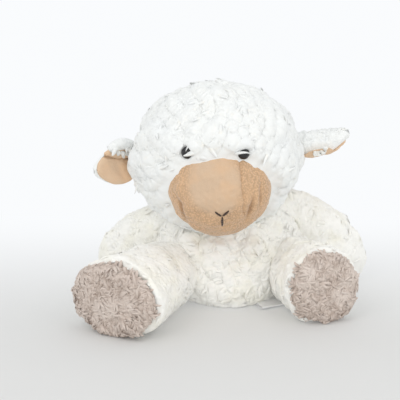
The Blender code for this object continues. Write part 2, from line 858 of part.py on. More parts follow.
def build_head(finishes, neck, head, socket):
    ball = ellipsoid(NECK_PLACE, np.full(3, NECK_RADIUS), np.eye(3), NECK_SEGMENTS, NECK_SEGMENTS // 2)
    hang(neck, add_object("neck_stuffing", ball, finishes["stuffing"]))

    inner_rings = INNER_SEGMENTS // 2
    skin = add_object("head_skin", head_form(0.0, BODY_SEGMENTS, HEAD_RINGS), finishes["fleece"])
    hollow = add_cutter("head_hollow", head_form(SKIN_WALL, INNER_SEGMENTS, inner_rings))
    mouth_hollow = add_cutter("muzzle_hollow", muzzle_form(SKIN_WALL, INNER_SEGMENTS, inner_rings))
    cut(skin, hollow, mouth_hollow, socket)

    muzzle = add_object(
        "muzzle_skin", muzzle_form(0.0, LIMB_SEGMENTS, LIMB_SEGMENTS // 2), finishes["velour"]
    )
    seat = add_cutter("muzzle_seat", head_form(-SEAM_GAP, BODY_SEGMENTS, HEAD_RINGS))
    cut(muzzle, mouth_hollow, seat)

    inner = SKIN_WALL + SEAM_GAP
    stuffing = add_object(
        "head_stuffing", head_form(inner, INNER_SEGMENTS, inner_rings), finishes["stuffing"]
    )
    snout = add_cutter("muzzle_core", muzzle_form(inner, INNER_SEGMENTS, inner_rings))
    fuse(stuffing, snout)
    cut(stuffing, socket)
    build_eyes(finishes, head, skin, stuffing)
    build_stitches(finishes, head)
    hang(head, skin, muzzle, stuffing)
    return skin


def build_eyes(finishes, head, skin, stuffing):
    for side, sign, rise in (("left", 1, EYE_LEFT_RISE), ("right", -1, EYE_RIGHT_RISE)):
        place, facing = front_of(np.zeros(3), head_halves(-SEAM_GAP), sign * EYE_SPREAD, rise)
        eye = add_object(
            f"eye_{side}", turned(eye_profile(), place, facing, TRIM_SEGMENTS), finishes["eye"]
        )
        bore = [(SHANK_RADIUS + SEAM_GAP, -SHANK_LENGTH - SEAM_GAP)]
        bore += [(SHANK_RADIUS + SEAM_GAP, SEAM_GAP)]
        hole = add_cutter(f"eye_hole_{side}", turned(bore, place, facing, CORE_SEGMENTS))
        reach = WASHER_RADIUS + 2 * SEAM_GAP
        deepest = -SKIN_WALL - 3 * SEAM_GAP - WASHER_THICKNESS
        behind = turned([(reach, deepest - OVERRUN), (reach, -SKIN_WALL)], place, facing, TRIM_SEGMENTS)
        recess = add_cutter(f"eye_washer_recess_{side}", behind)
        room = turned([(reach, deepest), (reach, OVERRUN)], place, facing, TRIM_SEGMENTS)
        washer_room = add_cutter(f"eye_washer_room_{side}", room)
        washer = make_washer(f"eye_washer_{side}", place, facing, finishes["washer"])
        cut(skin, hole, recess)
        cut(stuffing, hole, washer_room)
        hang(head, eye, washer)


def build_stitches(finishes, head):
    """The nose's two arms and the mouth's line, each a thread that lies on the muzzle."""
    lift = STITCH_RADIUS + SEAM_GAP - STITCH_PRESS
    strands = {
        "nose_stitch_left": ((0.0, NOSE_DROP), (NOSE_SPREAD, NOSE_DROP - NOSE_RISE)),
        "nose_stitch_right": ((0.0, NOSE_DROP), (-NOSE_SPREAD, NOSE_DROP - NOSE_RISE)),
        "mouth_stitch": ((0.0, NOSE_DROP), (0.0, NOSE_DROP + MOUTH_LENGTH)),
    }
    for name, (near, far) in strands.items():
        near, far = np.array(near), np.array(far)
        near = near + unit(far - near) * STITCH_PARTING
        shares = np.linspace(0, 1, 4)
        line = []
        for share in shares:
            side, drop = near + (far - near) * share
            place, facing = front_of(muzzle_centre(), muzzle_halves(0.0), side, -drop)
            line.append(place + facing * lift)
        hang(head, add_object(name, strand(line, STITCH_RADIUS), finishes["thread"]))


def strand(line, radius):
    """A round thread through the points of a line, with blunt ends."""
    line = np.array(line)
    angles = circle_angles(THREAD_SEGMENTS)
    rings = []
    for i, middle in enumerate(line):
        ahead = unit(line[min(i + 1, len(line) - 1)] - line[max(i - 1, 0)])
        side = unit(np.cross(ahead, BACKWARD))
        other = np.cross(ahead, side)
        size = radius * (STITCH_END_SHARE if i in (0, len(line) - 1) else 1.0)
        spokes = np.outer(np.cos(angles), side) + np.outer(np.sin(angles), other)
        rings.append(middle + spokes * size)
    start = line[0] - unit(line[1] - line[0]) * radius / 2
    end = line[-1] + unit(line[-1] - line[-2]) * radius / 2
    return loft(np.array(rings), start, end)


def build_ears(finishes, head, skin):
    ears = {
        "left": Ear(EAR_LEFT_PLACE, EAR_LEFT_HEADING, EAR_LEFT_FACING),
        "right": Ear(EAR_RIGHT_PLACE, EAR_RIGHT_HEADING, EAR_RIGHT_FACING),
    }
    for side, ear in ears.items():
        pivot = add_pivot(f"ear_{side}_pivot", ear.middle, head)
        groove = add_cutter(f"ear_groove_{side}", ear.roll(EAR_ROLL + SEAM_GAP, CORE_SEGMENTS))
        cut(skin, groove)
        back = add_object(f"ear_back_{side}", ear.ply(front=False), finishes["fleece"])
        lining = add_object(f"ear_lining_{side}", ear.ply(front=True), finishes["velour"])
        hang(pivot, back, lining)


def main():
    clear_scene()
    finishes = make_finishes()
    limbs = build_limbs(finishes)
    socket = build_body(finishes, limbs)
    neck = add_pivot("neck_pivot", NECK_PLACE)
    head = add_pivot("head_pivot", NECK_PLACE, neck)
    skin = build_head(finishes, neck, head, socket)
    build_ears(finishes, head, skin)


main()
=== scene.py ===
"""The looks of a seated plush sheep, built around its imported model.

Metres, +Z up. The sheep faces -Y, so its own left side is at +X. Every soft form is a closed surface
on a grid, worked out as whole arrays, with a pile of small tapered locks that grow from it.
"""

import json
import math
from typing import NamedTuple

import bpy
import numpy as np
from bpy.props import FloatProperty, FloatVectorProperty, PointerProperty
from mathutils import Matrix, Vector

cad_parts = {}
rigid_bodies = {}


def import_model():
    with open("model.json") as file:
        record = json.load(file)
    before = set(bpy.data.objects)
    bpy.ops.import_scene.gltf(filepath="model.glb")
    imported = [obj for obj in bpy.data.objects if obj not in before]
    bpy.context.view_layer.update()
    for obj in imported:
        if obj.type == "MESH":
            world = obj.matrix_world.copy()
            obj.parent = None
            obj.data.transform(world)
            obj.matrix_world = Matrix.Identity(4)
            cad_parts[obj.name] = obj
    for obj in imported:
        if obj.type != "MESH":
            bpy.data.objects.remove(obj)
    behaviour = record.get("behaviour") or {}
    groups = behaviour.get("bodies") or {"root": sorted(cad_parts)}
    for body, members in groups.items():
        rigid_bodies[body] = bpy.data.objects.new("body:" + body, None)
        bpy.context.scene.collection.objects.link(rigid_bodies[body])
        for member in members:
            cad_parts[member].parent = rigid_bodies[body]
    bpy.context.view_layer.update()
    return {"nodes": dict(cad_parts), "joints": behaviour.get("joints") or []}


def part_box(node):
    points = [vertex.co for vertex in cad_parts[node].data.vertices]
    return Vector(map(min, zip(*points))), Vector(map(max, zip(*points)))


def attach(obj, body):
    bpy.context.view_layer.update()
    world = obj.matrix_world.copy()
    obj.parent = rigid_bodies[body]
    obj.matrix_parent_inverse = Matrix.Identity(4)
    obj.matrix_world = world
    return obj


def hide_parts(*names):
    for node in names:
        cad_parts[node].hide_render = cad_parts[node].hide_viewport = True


bl_info = {
    "name": "Plush sheep",
    "version": (1, 0, 0),
    "blender": (4, 5, 0),
    "location": "3D View > Sidebar > Sheep",
    "description": "Fleece, velour and trim for a seated plush sheep",
    "category": "Object",
}

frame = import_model()
JOINTS = {joint["name"]: joint for joint in frame["joints"]}
ACROSS, BACKWARD, UPWARD = np.eye(3)
SIDES = ("left", "right")

# Height of the lowest points, and the height over which tufts may start
FLOOR, PILE_START = 0.0004, 0.001
# How far the belly's lower front edge sags forwards
BELLY_SAG = 0.009
# How far a leg's fleece ends short of its last ring, under the sole
SOLE_SEAT = 0.0008
LABEL_WIDTH = 0.026
# The tufts over each eye, in its own plane: where one starts, where its tip lies, and its radius
EYE_TUFTS = {
    "left": (
        ((-0.0095, -0.0002), (0.0062, -0.0012), 0.0017),
        ((-0.0040, 0.0080), (-0.0020, 0.0030), 0.0012),
    ),
    "right": (
        ((0.0098, 0.0004), (0.0010, -0.0014), 0.0018),
        ((0.0034, 0.0088), (0.0002, 0.0008), 0.0016),
    ),
}
# Each stitch: its piece, its ends across and up from the head's middle, and its node
STITCHES = (
    ("nose_thread_left", (0.0012, -0.0206), (0.0074, -0.0156), "nose_stitch_left"),
    ("nose_thread_right", (0.0002, -0.0206), (-0.0052, -0.0154), "nose_stitch_right"),
    ("mouth_thread", (0.0008, -0.0213), (0.0, -0.0328), "mouth_stitch"),
)
# Each fold of the muzzle: its depth; its place across, and its slope from a height; its width; the
# height of its middle and its reach up and down
FOLDS = (
    (0.0030, -0.036, -0.25, -0.008, 0.0022, -0.006, 0.014),
    (0.0026, 0.028, 0.30, -0.006, 0.0020, -0.006, 0.012),
    (0.0018, 0.037, 0.20, 0.0, 0.0018, 0.002, 0.012),
)
# An ear's back: share of the half width and of the length up to which it has tufts, how far behind
# the middle surface they start, and the mat's height and relief
EAR_LIP, EAR_FOLD = (0.55, 0.95, 0.0012, 0.0062, 0.0036), (0.3, 0.6, 0.0026, 0.0020, 0.0014)
# What the camera sees around the sheep
PAPER = (0.955, 0.97, 0.985, 1)
# Each lamp: its name, its place and its power in watts
LAMPS = (
    ("key_softbox", (-0.75, -0.9, 1.25), 4.1),
    ("fill_softbox", (0.95, -0.7, 0.8), 2.2),
    ("front_softbox", (0.05, -1.5, 0.45), 2.3),
)


# Settings


def metres(name, description, default):
    return FloatProperty(name=name, description=description, default=default, unit="LENGTH")


def degrees(name, description, default):
    return FloatProperty(name=name, description=description, default=math.radians(default), subtype="ANGLE")


def triple(name, description, default, subtype="XYZ"):
    return FloatVectorProperty(name=name, description=description, default=default, subtype=subtype)


def pair(name, description, default):
    return FloatVectorProperty(name=name, description=description, default=default, size=2, unit="LENGTH")


def paint(name, description, default):
    return triple(name, description, default, "COLOR")


class SheepSizes(bpy.types.PropertyGroup):
    """Sizes that a maker would change, in metres."""

    head_centre: triple("Head centre", "Middle of the head", (-0.013, -0.020, 0.139))
    head_halves: triple(
        "Head half sizes", "Half the head's width, depth and height, under the pile", (0.076, 0.069, 0.068)
    )
    head_roll: degrees("Head roll", "Lean of the head to its right", 5.5)
    head_nod: degrees("Head nod", "Lean of the head forwards", 9)
    muzzle_centre: triple(
        "Muzzle centre", "Middle of the muzzle from the head's, in the head's own axes", (0, -0.046, -0.0135)
    )
    muzzle_halves: triple(
        "Muzzle half sizes", "Half the muzzle's width, depth and height", (0.049, 0.042, 0.0435)
    )
    eye_radius: metres("Eye radius", "Radius of each eye's rim", 0.0057)
    eye_spread: metres("Eye spread", "From the face's middle to each eye", 0.025)
    eye_rises: pair("Eye rises", "Height of the left and the right eye over the middle", (0.027, 0.0315))
    body_halves: triple(
        "Body half sizes", "Half the body's greatest width and depth, and its height", (0.073, 0.061, 0.108)
    )
    body_lean: metres("Body lean", "How far back the body's top lies", 0.020)
    foot_halves: pair("Foot half widths", "Half the width of the right and the left foot", (0.044, 0.0335))
    ear_length: metres("Ear length", "From an ear's root to its tip", 0.052)
    ear_half_width: metres("Ear half width", "Half an ear's greatest width", 0.0185)
    head_pile: metres("Head pile", "Length of the head's locks", 0.0100)
    body_pile: metres("Body pile", "Length of the locks on the body and limbs", 0.0085)
    sole_pile: metres("Sole pile", "Length of the soles' locks", 0.0082)


class SheepColours(bpy.types.PropertyGroup):
    """Colours that a maker would change."""

    head_tip: paint("Head pile", "Tips of the head's pile", (0.905, 0.915, 0.90))
    body_tip: paint("Body pile", "Tips of the body's pile", (0.96, 0.95, 0.91))
    # The pile's roots, in a warmer cream that the mat's creases also take as painted shade
    fleece_root_and_crease_shade: paint("Pile roots", "Backing between the locks", (0.95, 0.93, 0.87))
    velour: paint("Velour", "Muzzle and ear linings", (0.665, 0.435, 0.262))
    sole_tip: paint("Sole pile", "Tips of the soles' pile", (0.70, 0.60, 0.535))
    # The soles' pile roots, darker than the tips, which also paints the shade in the grooves between ridges
    sole_root_and_groove_shade: paint("Sole roots", "Roots of the soles' pile", (0.45, 0.36, 0.305))
    thread: paint("Thread", "Nose and mouth stitches", (0.045, 0.022, 0.012))
    eye: paint("Eyes", "Plastic of the eyes", (0.012, 0.012, 0.014))
    label: paint("Label", "Blank satin ribbon", (0.86, 0.86, 0.86))
    floor: paint("Floor", "Floor in front of the sheep", (0.745, 0.745, 0.735))


def sizes():
    return bpy.context.scene.sheep_sizes


def colours():
    return bpy.context.scene.sheep_colours


# Arrays


def unit(vectors):
    """Each vector divided by its length."""
    vectors = np.asarray(vectors, float)
    return vectors / np.maximum(np.linalg.norm(vectors, axis=-1, keepdims=True), 1e-12)


def turn_about(axis, angle):
    """A 3 by 3 rotation about an axis through the origin."""
    return np.array(Matrix.Rotation(angle, 3, Vector(axis)))


def circle(count):
    """Even angles round a circle, without the first one again at its end."""
    return np.linspace(0, 2 * math.pi, count, endpoint=False)


def rings(middles, wide, high, side, other, count):
    """Rows of points on ellipses round middles: wide cos a along side and high sin a along other."""
    angle = circle(count)
    return (
        middles[:, None]
        + (wide[:, None] * np.cos(angle))[..., None] * side
        + (high[:, None] * np.sin(angle))[..., None] * other
    )


def with_poles(values, end):
    """A value for each point in a surface's rows, and one value for both its poles."""
    return np.append(values.ravel(), (end, end))


def field(points, size, seed, waves=14):
    """Smooth noise: a sum of plane waves in fixed random directions, whose lengths lie near size."""
    rng = np.random.default_rng(seed)
    ways = unit(rng.normal(size=(waves, 3))) * (2 * math.pi / size) * rng.uniform(0.6, 1.6, (waves, 1))
    return np.sin(points @ ways.T + rng.uniform(0, 2 * math.pi, waves)).sum(-1) / math.sqrt(waves / 2)


def lumps(points, *kinds):
    """Soft unevenness: a sum of smooth noises, each of (height, size, seed)."""
    return sum(height * field(points, size, seed) for height, size, seed in kinds)


def bump(distance, width):
    """A soft ridge: 1 at no distance, falling as a bell curve of that width."""
    return np.exp(-((distance / width) ** 2))


def ease(value, low, high):
    """Smoothly from 0 at low to 1 at high: 3x^2 - 2x^3."""
    share = np.clip((value - low) / (high - low), 0, 1)
    return share * share * (3 - 2 * share)


def curve_through(at, places, values):
    """A smooth curve through a table: cubic Hermite pieces, with slopes from the neighbours."""
    places, values = np.asarray(places, float), np.asarray(values, float)
    slopes = np.gradient(values, places)
    i = np.clip(np.searchsorted(places, at) - 1, 0, len(places) - 2)
    step = places[i + 1] - places[i]
    s = np.clip((at - places[i]) / step, 0, 1)
    return (
        values[i] * (1 + 2 * s) * (1 - s) ** 2
        + slopes[i] * step * s * (1 - s) ** 2
        + values[i + 1] * s * s * (3 - 2 * s)
        + slopes[i + 1] * step * s * s * (s - 1)
    )


class Shell:
    """A closed surface: rows of points round it (rows, columns, 3), drawn to a pole at each end."""

    def __init__(self, rows, start, end):
        self.rows = np.asarray(rows, float)
        self.start, self.end = np.asarray(start, float), np.asarray(end, float)
        around = np.roll(self.rows, -1, axis=1) - np.roll(self.rows, 1, axis=1)
        normals = unit(np.cross(around, np.gradient(self.rows, axis=0)))
        outward = (normals * (self.rows - self.rows.mean(axis=(0, 1)))).sum()
        self.flipped = outward < 0
        self.normals = -normals if self.flipped else normals

    def puffed(self, amount):
        """The surface moved along its normals by an amount for each point."""
        rows = self.rows + self.normals * amount[..., None]
        start = rows[0].mean(axis=0) + (self.start - self.rows[0].mean(axis=0))
        end = rows[-1].mean(axis=0) + (self.end - self.rows[-1].mean(axis=0))
        return Shell(rows, start, end)

    def on_floor(self):
        """The surface with what lies under the floor pressed flat on it."""
        rows = self.rows.copy()
        rows[..., 2] = np.maximum(rows[..., 2], FLOOR)
        ends = [np.maximum(end, (-np.inf, -np.inf, FLOOR)) for end in (self.start, self.end)]
        return Shell(rows, *ends)

    def mesh(self):
        """Points, and faces that point outwards."""
        count, segments = self.rows.shape[:2]
        points = np.concatenate([self.rows.reshape(-1, 3), [self.start, self.end]])
        index = np.arange(count * segments).reshape(count, segments)
        beside = np.roll(index, -1, axis=1)
        quads = np.stack([index[:-1], beside[:-1], beside[1:], index[1:]], axis=-1).reshape(-1, 4)
        first = np.full(segments, count * segments)
        caps = np.concatenate(
            [
                np.stack([beside[0], index[0], first], axis=-1),
                np.stack([index[-1], beside[-1], first + 1], axis=-1),
            ]
        )
        if self.flipped:
            quads, caps = quads[:, ::-1], caps[:, ::-1]
        return points, [quads, caps]

    def scatter(self, density, seed, keep=None):
        """Points and normals spread evenly over the surface, density to a square metre."""
        rng = np.random.default_rng(seed)
        wide = np.concatenate([self.rows, self.rows[:, :1]], axis=1)
        facing = np.concatenate([self.normals, self.normals[:, :1]], axis=1)
        across = wide[:-1, 1:] - wide[1:, :-1]
        down = wide[1:, 1:] - wide[:-1, :-1]
        areas = np.linalg.norm(np.cross(across, down), axis=-1) / 2
        total = np.cumsum(areas)
        count = int(total[-1] * density)
        picks = np.searchsorted(total, (np.arange(count) + rng.uniform(size=count)) / count * total[-1])
        picks = np.minimum(picks, areas.size - 1)
        row, column = np.unravel_index(picks, areas.shape)
        s, t = rng.uniform(size=(2, count, 1))

        def between(grid):
            return (grid[row, column] * (1 - t) + grid[row, column + 1] * t) * (1 - s) + (
                grid[row + 1, column] * (1 - t) + grid[row + 1, column + 1] * t
            ) * s

        points, normals = between(wide), unit(between(facing))
        if keep is not None:
            held = keep(points)
            points, normals = points[held], normals[held]
        return points, normals


class Pile(NamedTuple):
    """How tufts grow: lift is how high their middle stands, hook how far they bend aside."""

    length: float
    width: float
    density: float
    lift: float = 0.0004
    sunk: float = 0.0004
    loose: float = 0.001
    hook: float = 0.35
    clump: float = 0.012
    stray: float = 0.7
    fall: float = 0.5
    uneven: float = 0.22
    under: float = 0.0036
    relief: float = 0.0026
    tuft: float = 0.011
    flat: float = 0.34


# A tuft's rings: where they lie along it, and how wide they are over the pile's width
TUFT_STEPS = np.array((0.0, 0.24, 0.52, 0.78, 0.94))
TUFT_WIDTHS = np.array((0.60, 0.94, 1.0, 0.74, 0.38))
# How far a tuft's root lies under the surface, and how high its spine stays over the floor
ROOT_DEPTH, SPINE_HEIGHT = 0.0008, FLOOR + 0.0004
# What is left of a tuft's length where the pile is fully thinned, and its tip's rise over its length
# when it is loose or when it lies down
THINNED, LOOSE_RISE, LYING_RISE = 0.35, 0.10, -0.12
# How far a tuft's shading leans to the surface's own normal
SOFTNESS = 0.5
# The size of the noise that swirls the curls, and how far it moves them
SWIRL_SIZE, SWIRL_REACH = 0.013, 0.0026
# Three sizes of curl: share of the relief, size over the pile's tuft size, and seed
CURLS = ((0.46, 1.0, 50), (0.32, 0.55, 51), (0.22, 0.32, 56))
# What rounds the creases between curls, the highest curl, and the height that puts it level
CREASE, HIGHEST_CURL, LEVEL_CURL = 0.012, 1.15, 0.8


def locks(roots, normals, pile, seed, comb=None, thin=None):
    """Small flat tufts that taper to a point and lie half sunk in the surface.

    Each spine runs along its lean, stands lift sin(pi t^0.8) off the surface, sinks again with the
    square of its length, and hooks aside with it too. A loose share of them keep their tips up. The
    leans come from smooth noise, so that neighbours clump.
    """
    rng = np.random.default_rng(seed)
    count = len(roots)
    flow = np.stack([field(roots, pile.clump, seed + i) for i in range(3)], axis=-1)
    flow += rng.normal(size=(count, 3)) * pile.stray - UPWARD * pile.fall
    if comb is not None:
        flow += comb(roots)
    lean = unit(flow - normals * (flow * normals).sum(axis=-1, keepdims=True))
    other = np.cross(normals, lean)
    tall = 1 + pile.uneven * field(roots, pile.clump * 0.9, seed + 5)
    length = pile.length * np.clip(tall, 0.5, 1.5) * rng.uniform(0.78, 1.12, count)
    if thin is not None:
        length *= THINNED + (1 - THINNED) * thin(roots)
    t = np.append(TUFT_STEPS, 1.0)[None, :, None]
    size = length[:, None, None]
    free = rng.uniform(size=(count, 1, 1)) < pile.loose
    high = pile.lift * rng.uniform(-0.8, 1.2, (count, 1, 1)) * np.sin(math.pi * t**0.8) - pile.sunk
    high = high + size * t * t * np.where(free, LOOSE_RISE, LYING_RISE)
    spine = roots[:, None] + normals[:, None] * high + size * lean[:, None] * t
    spine += size * pile.hook * rng.uniform(-1, 1, (count, 1, 1)) * t * t * other[:, None]
    spine[:, 0] = roots - normals * ROOT_DEPTH
    spine[..., 2] = np.maximum(spine[..., 2], SPINE_HEIGHT)

    ahead = unit(np.gradient(spine, axis=1))
    side = unit(np.cross(ahead, normals[:, None] - 0.3 * lean[:, None]))
    up = np.cross(side, ahead)
    rise = up * pile.flat
    wide = pile.width * rng.uniform(0.75, 1.25, (count, 1)) * TUFT_WIDTHS
    corners = np.radians((0, 270, 180, 90))
    tall = np.where(np.sin(corners) < -0.5, -0.3, np.sin(corners))
    ring = side[:, :-1, None] * np.cos(corners)[:, None] + rise[:, :-1, None] * tall[:, None]
    hoops = spine[:, :-1, None] + ring * wide[..., None, None] / 2
    hoops[..., 2] = np.maximum(hoops[..., 2], FLOOR)
    steps = len(TUFT_STEPS)
    points = np.concatenate([hoops.reshape(count, -1, 3), spine[:, -1:]], axis=1)
    sides = len(corners)
    along = np.append(np.repeat(TUFT_STEPS, sides), 1.0)
    across = np.append(np.tile(np.cos(corners), steps), 0.0)
    k, j = (grid.ravel() for grid in np.meshgrid(np.arange(steps - 1), np.arange(sides), indexing="ij"))
    n = (j + 1) % sides
    quads = np.stack([k * sides + j, k * sides + n, (k + 1) * sides + n, (k + 1) * sides + j], axis=-1)
    quads = np.concatenate([quads, [np.arange(sides)[::-1]]])
    last = (steps - 1) * sides
    tips = np.array([(last + a, last + (a + 1) % sides, steps * sides) for a in range(sides)])
    round_off = side[:, :-1, None] * (np.cos(corners) * pile.flat)[:, None]
    soft = SOFTNESS * np.where(free, 0.2, 1.0) * normals[:, None]
    above = (np.sin(corners) > -0.5)[:, None]
    round_off = unit(round_off + up[:, :-1, None] * np.sin(corners)[:, None]) + soft[:, None] * above
    ends = 0.25 * ahead[:, -1:] + normals[:, None]
    facing = unit(np.concatenate([round_off.reshape(count, -1, 3), ends], axis=1))
    first = (np.arange(count) * (steps * sides + 1))[:, None, None]
    tint = np.repeat(rng.uniform(size=count), steps * sides + 1)
    values = {"along": np.tile(along, count), "across": np.tile(across, count), "tint": tint}
    values["facing"] = facing.reshape(-1, 3)
    return points.reshape(-1, 3), [(quads + first).reshape(-1, 4), (tips + first).reshape(-1, 3)], values


def join(*parts):
    """Several (points, faces, attributes) as one."""
    points, faces, values, offset = [], [], {}, 0
    for part_points, part_faces, part_values in parts:
        points.append(part_points)
        faces += [face + offset for face in part_faces]
        for name in ("along", "across", "tint"):
            found = part_values.get(name, np.zeros(len(part_points)))
            values.setdefault(name, []).append(found)
        if "facing" in part_values:
            values.setdefault("facing", []).append(part_values["facing"])
        offset += len(part_points)
    return np.concatenate(points), faces, {name: np.concatenate(found) for name, found in values.items()}


def add_piece(name, part, material, body, replaced=()):
    """A mesh object from (points, faces, attributes) that rides on a body and stands for CAD nodes.
    """
    points, faces, values = part
    faces = [face for face in faces if len(face)]
    mesh = bpy.data.meshes.new(name)
    corners = np.concatenate([face.ravel() for face in faces])
    totals = np.concatenate([np.full(len(face), face.shape[1]) for face in faces])
    mesh.vertices.add(len(points))
    mesh.vertices.foreach_set("co", points.astype(np.float32).ravel())
    mesh.loops.add(len(corners))
    mesh.loops.foreach_set("vertex_index", corners.astype(np.int32))
    mesh.polygons.add(len(totals))
    starts = np.concatenate([[0], np.cumsum(totals)[:-1]])
    mesh.polygons.foreach_set("loop_start", starts.astype(np.int32))
    mesh.update(calc_edges=True)
    facing = values.pop("facing", None)
    for key, found in values.items():
        mesh.attributes.new(key, "FLOAT", "POINT").data.foreach_set("value", found.astype(np.float32))
    mesh.shade_smooth()
    if facing is not None:
        mesh.normals_split_custom_set_from_vertices(facing)
    mesh.materials.append(material)
    piece = bpy.data.objects.new(name, mesh)
    bpy.context.scene.collection.objects.link(piece)
    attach(piece, body)
    if replaced:
        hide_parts(*replaced)
    return piece


def furred(shell, pile, seed, keep=None, comb=None, thin=None):
    """A surface together with its pile: a dense mat of curls, under high, and loose locks on it.

    The mat is small rounded tufts with soft creases between them: a sum of (n^2 + CREASE)^(1/4) over
    three sizes of smooth noise n, read through another that swirls them.
    """
    swirl = np.stack([field(shell.rows, SWIRL_SIZE, seed + 52 + i) for i in range(3)], axis=-1)
    places = shell.rows + SWIRL_REACH * swirl
    curls = 0
    for share, size, wave in CURLS:
        curls = curls + share * (field(places, pile.tuft * size, seed + wave) ** 2 + CREASE) ** 0.25
    curls = np.clip(curls, 0, HIGHEST_CURL)
    high = pile.under + pile.relief * (curls - LEVEL_CURL)
    if thin is not None:
        high = high * thin(shell.rows)
    smooth = shell.normals
    shell = shell.puffed(high).on_floor()
    points, faces = shell.mesh()
    # The low creases between curls take the root colour: painted shade
    light = with_poles(curls, 0.5)
    ends = unit([shell.start, shell.end] - shell.rows.mean(axis=(0, 1)))
    facing = np.concatenate([shell.normals.reshape(-1, 3), ends])
    base = points, faces, {"along": 0.8 * light, "tint": np.full(len(points), 0.5), "facing": facing}
    shell.normals = unit(0.25 * shell.normals + 0.75 * smooth)
    roots, normals = shell.scatter(pile.density, seed, keep)
    return join(base, locks(roots, normals, pile, seed + 100, comb, thin))


# Forms


def head_axes():
    """The head's own axes as columns: nodded forwards, then rolled to its right."""
    return turn_about(BACKWARD, -sizes().head_roll) @ turn_about(ACROSS, sizes().head_nod)


def in_head(points):
    """World points in the head's own axes, from its middle."""
    return (points - np.array(sizes().head_centre)) @ head_axes()


def out_of_head(points):
    return np.array(sizes().head_centre) + points @ head_axes().T


def ball_rows(rows, segments, pole):
    """A unit sphere in rings about an axis: cos p along it, sin p times (cos a, sin a) across it."""
    polar = np.linspace(0, math.pi, rows + 2)[1:-1]
    side = unit(np.cross(pole, UPWARD if abs(pole[2]) < 0.9 else ACROSS))
    wide = np.sin(polar)
    return rings(np.cos(polar)[:, None] * pole, wide, wide, side, np.cross(pole, side), segments)


def ellipsoid_depth(points, centre, halves):
    """How far points lie outside an ellipsoid, about: (|p| - 1) times its mean half size."""
    return (np.linalg.norm((points - centre) / halves, axis=-1) - 1) * np.mean(halves)


# Share of the body's height, then shares of its greatest width and depth there
BODY_TABLE = np.array(
    (
        (0.0, 0.82, 0.86),
        (0.07, 0.92, 0.94),
        (0.22, 0.985, 0.99),
        (0.40, 1.0, 1.0),
        (0.58, 0.92, 0.91),
        (0.76, 0.77, 0.75),
        (0.90, 0.56, 0.55),
        (1.0, 0.0, 0.0),
    )
)


def body_halves(share):
    """Half the body's width and depth at a share of its height."""
    places, *columns = BODY_TABLE.T
    return [curve_through(share, places, column) * half for column, half in zip(columns, sizes().body_halves)]


def body_shell():
    """A pear in level rings: half sizes from a table by height, leaning back with height squared."""
    height, lean = sizes().body_halves[2], sizes().body_lean
    share = np.concatenate([np.linspace(0, 0.9, 100), 0.9 + 0.1 * np.sin(np.linspace(0.06, 1.45, 16))])
    middles = np.stack([0 * share, lean * share**2, height * share], axis=-1)
    rows = rings(middles, *body_halves(share), ACROSS, BACKWARD, 270)
    return Shell(rows, (0, 0, 0), (0, lean, height))


def outside_body(points, margin):
    """Whether points lie outside the body's pear less a margin."""
    height = sizes().body_halves[2]
    share = np.clip(points[:, 2] / height, 0, 1)
    width, depth = (np.maximum(half - margin, 0.0001) for half in body_halves(share))
    back = sizes().body_lean * share**2
    return (np.hypot(points[:, 0] / width, (points[:, 1] - back) / depth) > 1) | (points[:, 2] > height)


class Limb:
    """A stuffed form that grows from a ball on its joint along a line bent in one plane.

    The line is an arc: heading sin(bs)/b + rise (1 - cos(bs))/b. Its half sizes run evenly from the
    root's radius to the end's, and swell between by bulge sin(pi s).
    """

    def __init__(self, joint, heading, length, bend, root, bulge, across, up, tip):
        self.pivot = np.array(JOINTS[joint]["pos_m"], float)
        self.axis = unit(JOINTS[joint]["axis"])
        self.heading = unit(heading)
        self.rise = np.cross(self.axis, self.heading)
        self.length, self.bend, self.root = length, bend, root
        self.across, self.up, self.bulge, self.tip = across, up, bulge, tip

    def direction(self, share):
        angle = (self.bend * np.asarray(share))[..., None]
        return self.heading * np.cos(angle) + self.rise * np.sin(angle)

    def centre(self, share):
        share = np.asarray(share)[..., None]
        if abs(self.bend) < 1e-6:
            return self.pivot + self.heading * share * self.length
        angle = self.bend * share
        arc = self.heading * np.sin(angle) + self.rise * (1 - np.cos(angle))
        return self.pivot + arc * self.length / self.bend

    def shell(self, rows=70, segments=110):
        """Rings: the ball's back, the tube, and a domed tip that reaches tip beyond the last one."""
        back = np.radians((12, 30, 50, 70))
        share = np.linspace(0, 1, rows)
        end = np.radians((16, 32, 48, 62, 75, 84))
        swell = self.bulge * np.sin(math.pi * share)
        across = self.root + (self.across - self.root) * share + swell
        up = self.root + (self.up - self.root) * share + swell
        last, out = self.centre(1.0), self.direction(1.0)
        middles = [
            self.pivot - self.heading * (self.root * np.cos(back))[:, None],
            self.centre(share),
            last + out * (self.tip * np.sin(end))[:, None],
        ]
        ways = [np.tile(self.heading, (len(back), 1)), self.direction(share), np.tile(out, (len(end), 1))]
        wide = np.concatenate([self.root * np.sin(back), across, self.across * np.cos(end)])
        high = np.concatenate([self.root * np.sin(back), up, self.up * np.cos(end)])
        lift = np.cross(self.axis, np.concatenate(ways))[:, None]
        rows = rings(np.concatenate(middles), wide, high, self.axis, lift, segments)
        return Shell(rows, self.pivot - self.heading * self.root, last + out * self.tip)


def arm(side):
    sign, lean, length, bend = (-1, 56, 0.059, -10) if side == "right" else (1, 66, 0.076, -34)
    heading = sign * math.sin(math.radians(lean)) * ACROSS - math.cos(math.radians(lean)) * UPWARD
    end = {"across": 0.0235, "up": 0.0235, "tip": 0.0235}
    return Limb(f"arm_{side}_lift", heading, length, math.radians(bend), root=0.019, bulge=0.0025, **end)


def leg(side):
    """A leg that climbs from its root, so that its end's lowest line lies as low as its root's."""
    right, joint = side == "right", f"leg_{side}_lift"
    outward = unit(np.cross(UPWARD, JOINTS[joint]["axis"]))
    length, root, up = 0.103 if right else 0.0755, 0.027, 0.0335
    across = sizes().foot_halves[0 if right else 1]
    climb = math.asin((up - root) / length)
    heading = outward * math.cos(climb) + UPWARD * math.sin(climb)
    return Limb(joint, heading, length, 0.0, root=root, bulge=0.0005, across=across, up=up, tip=0.004)


# Materials


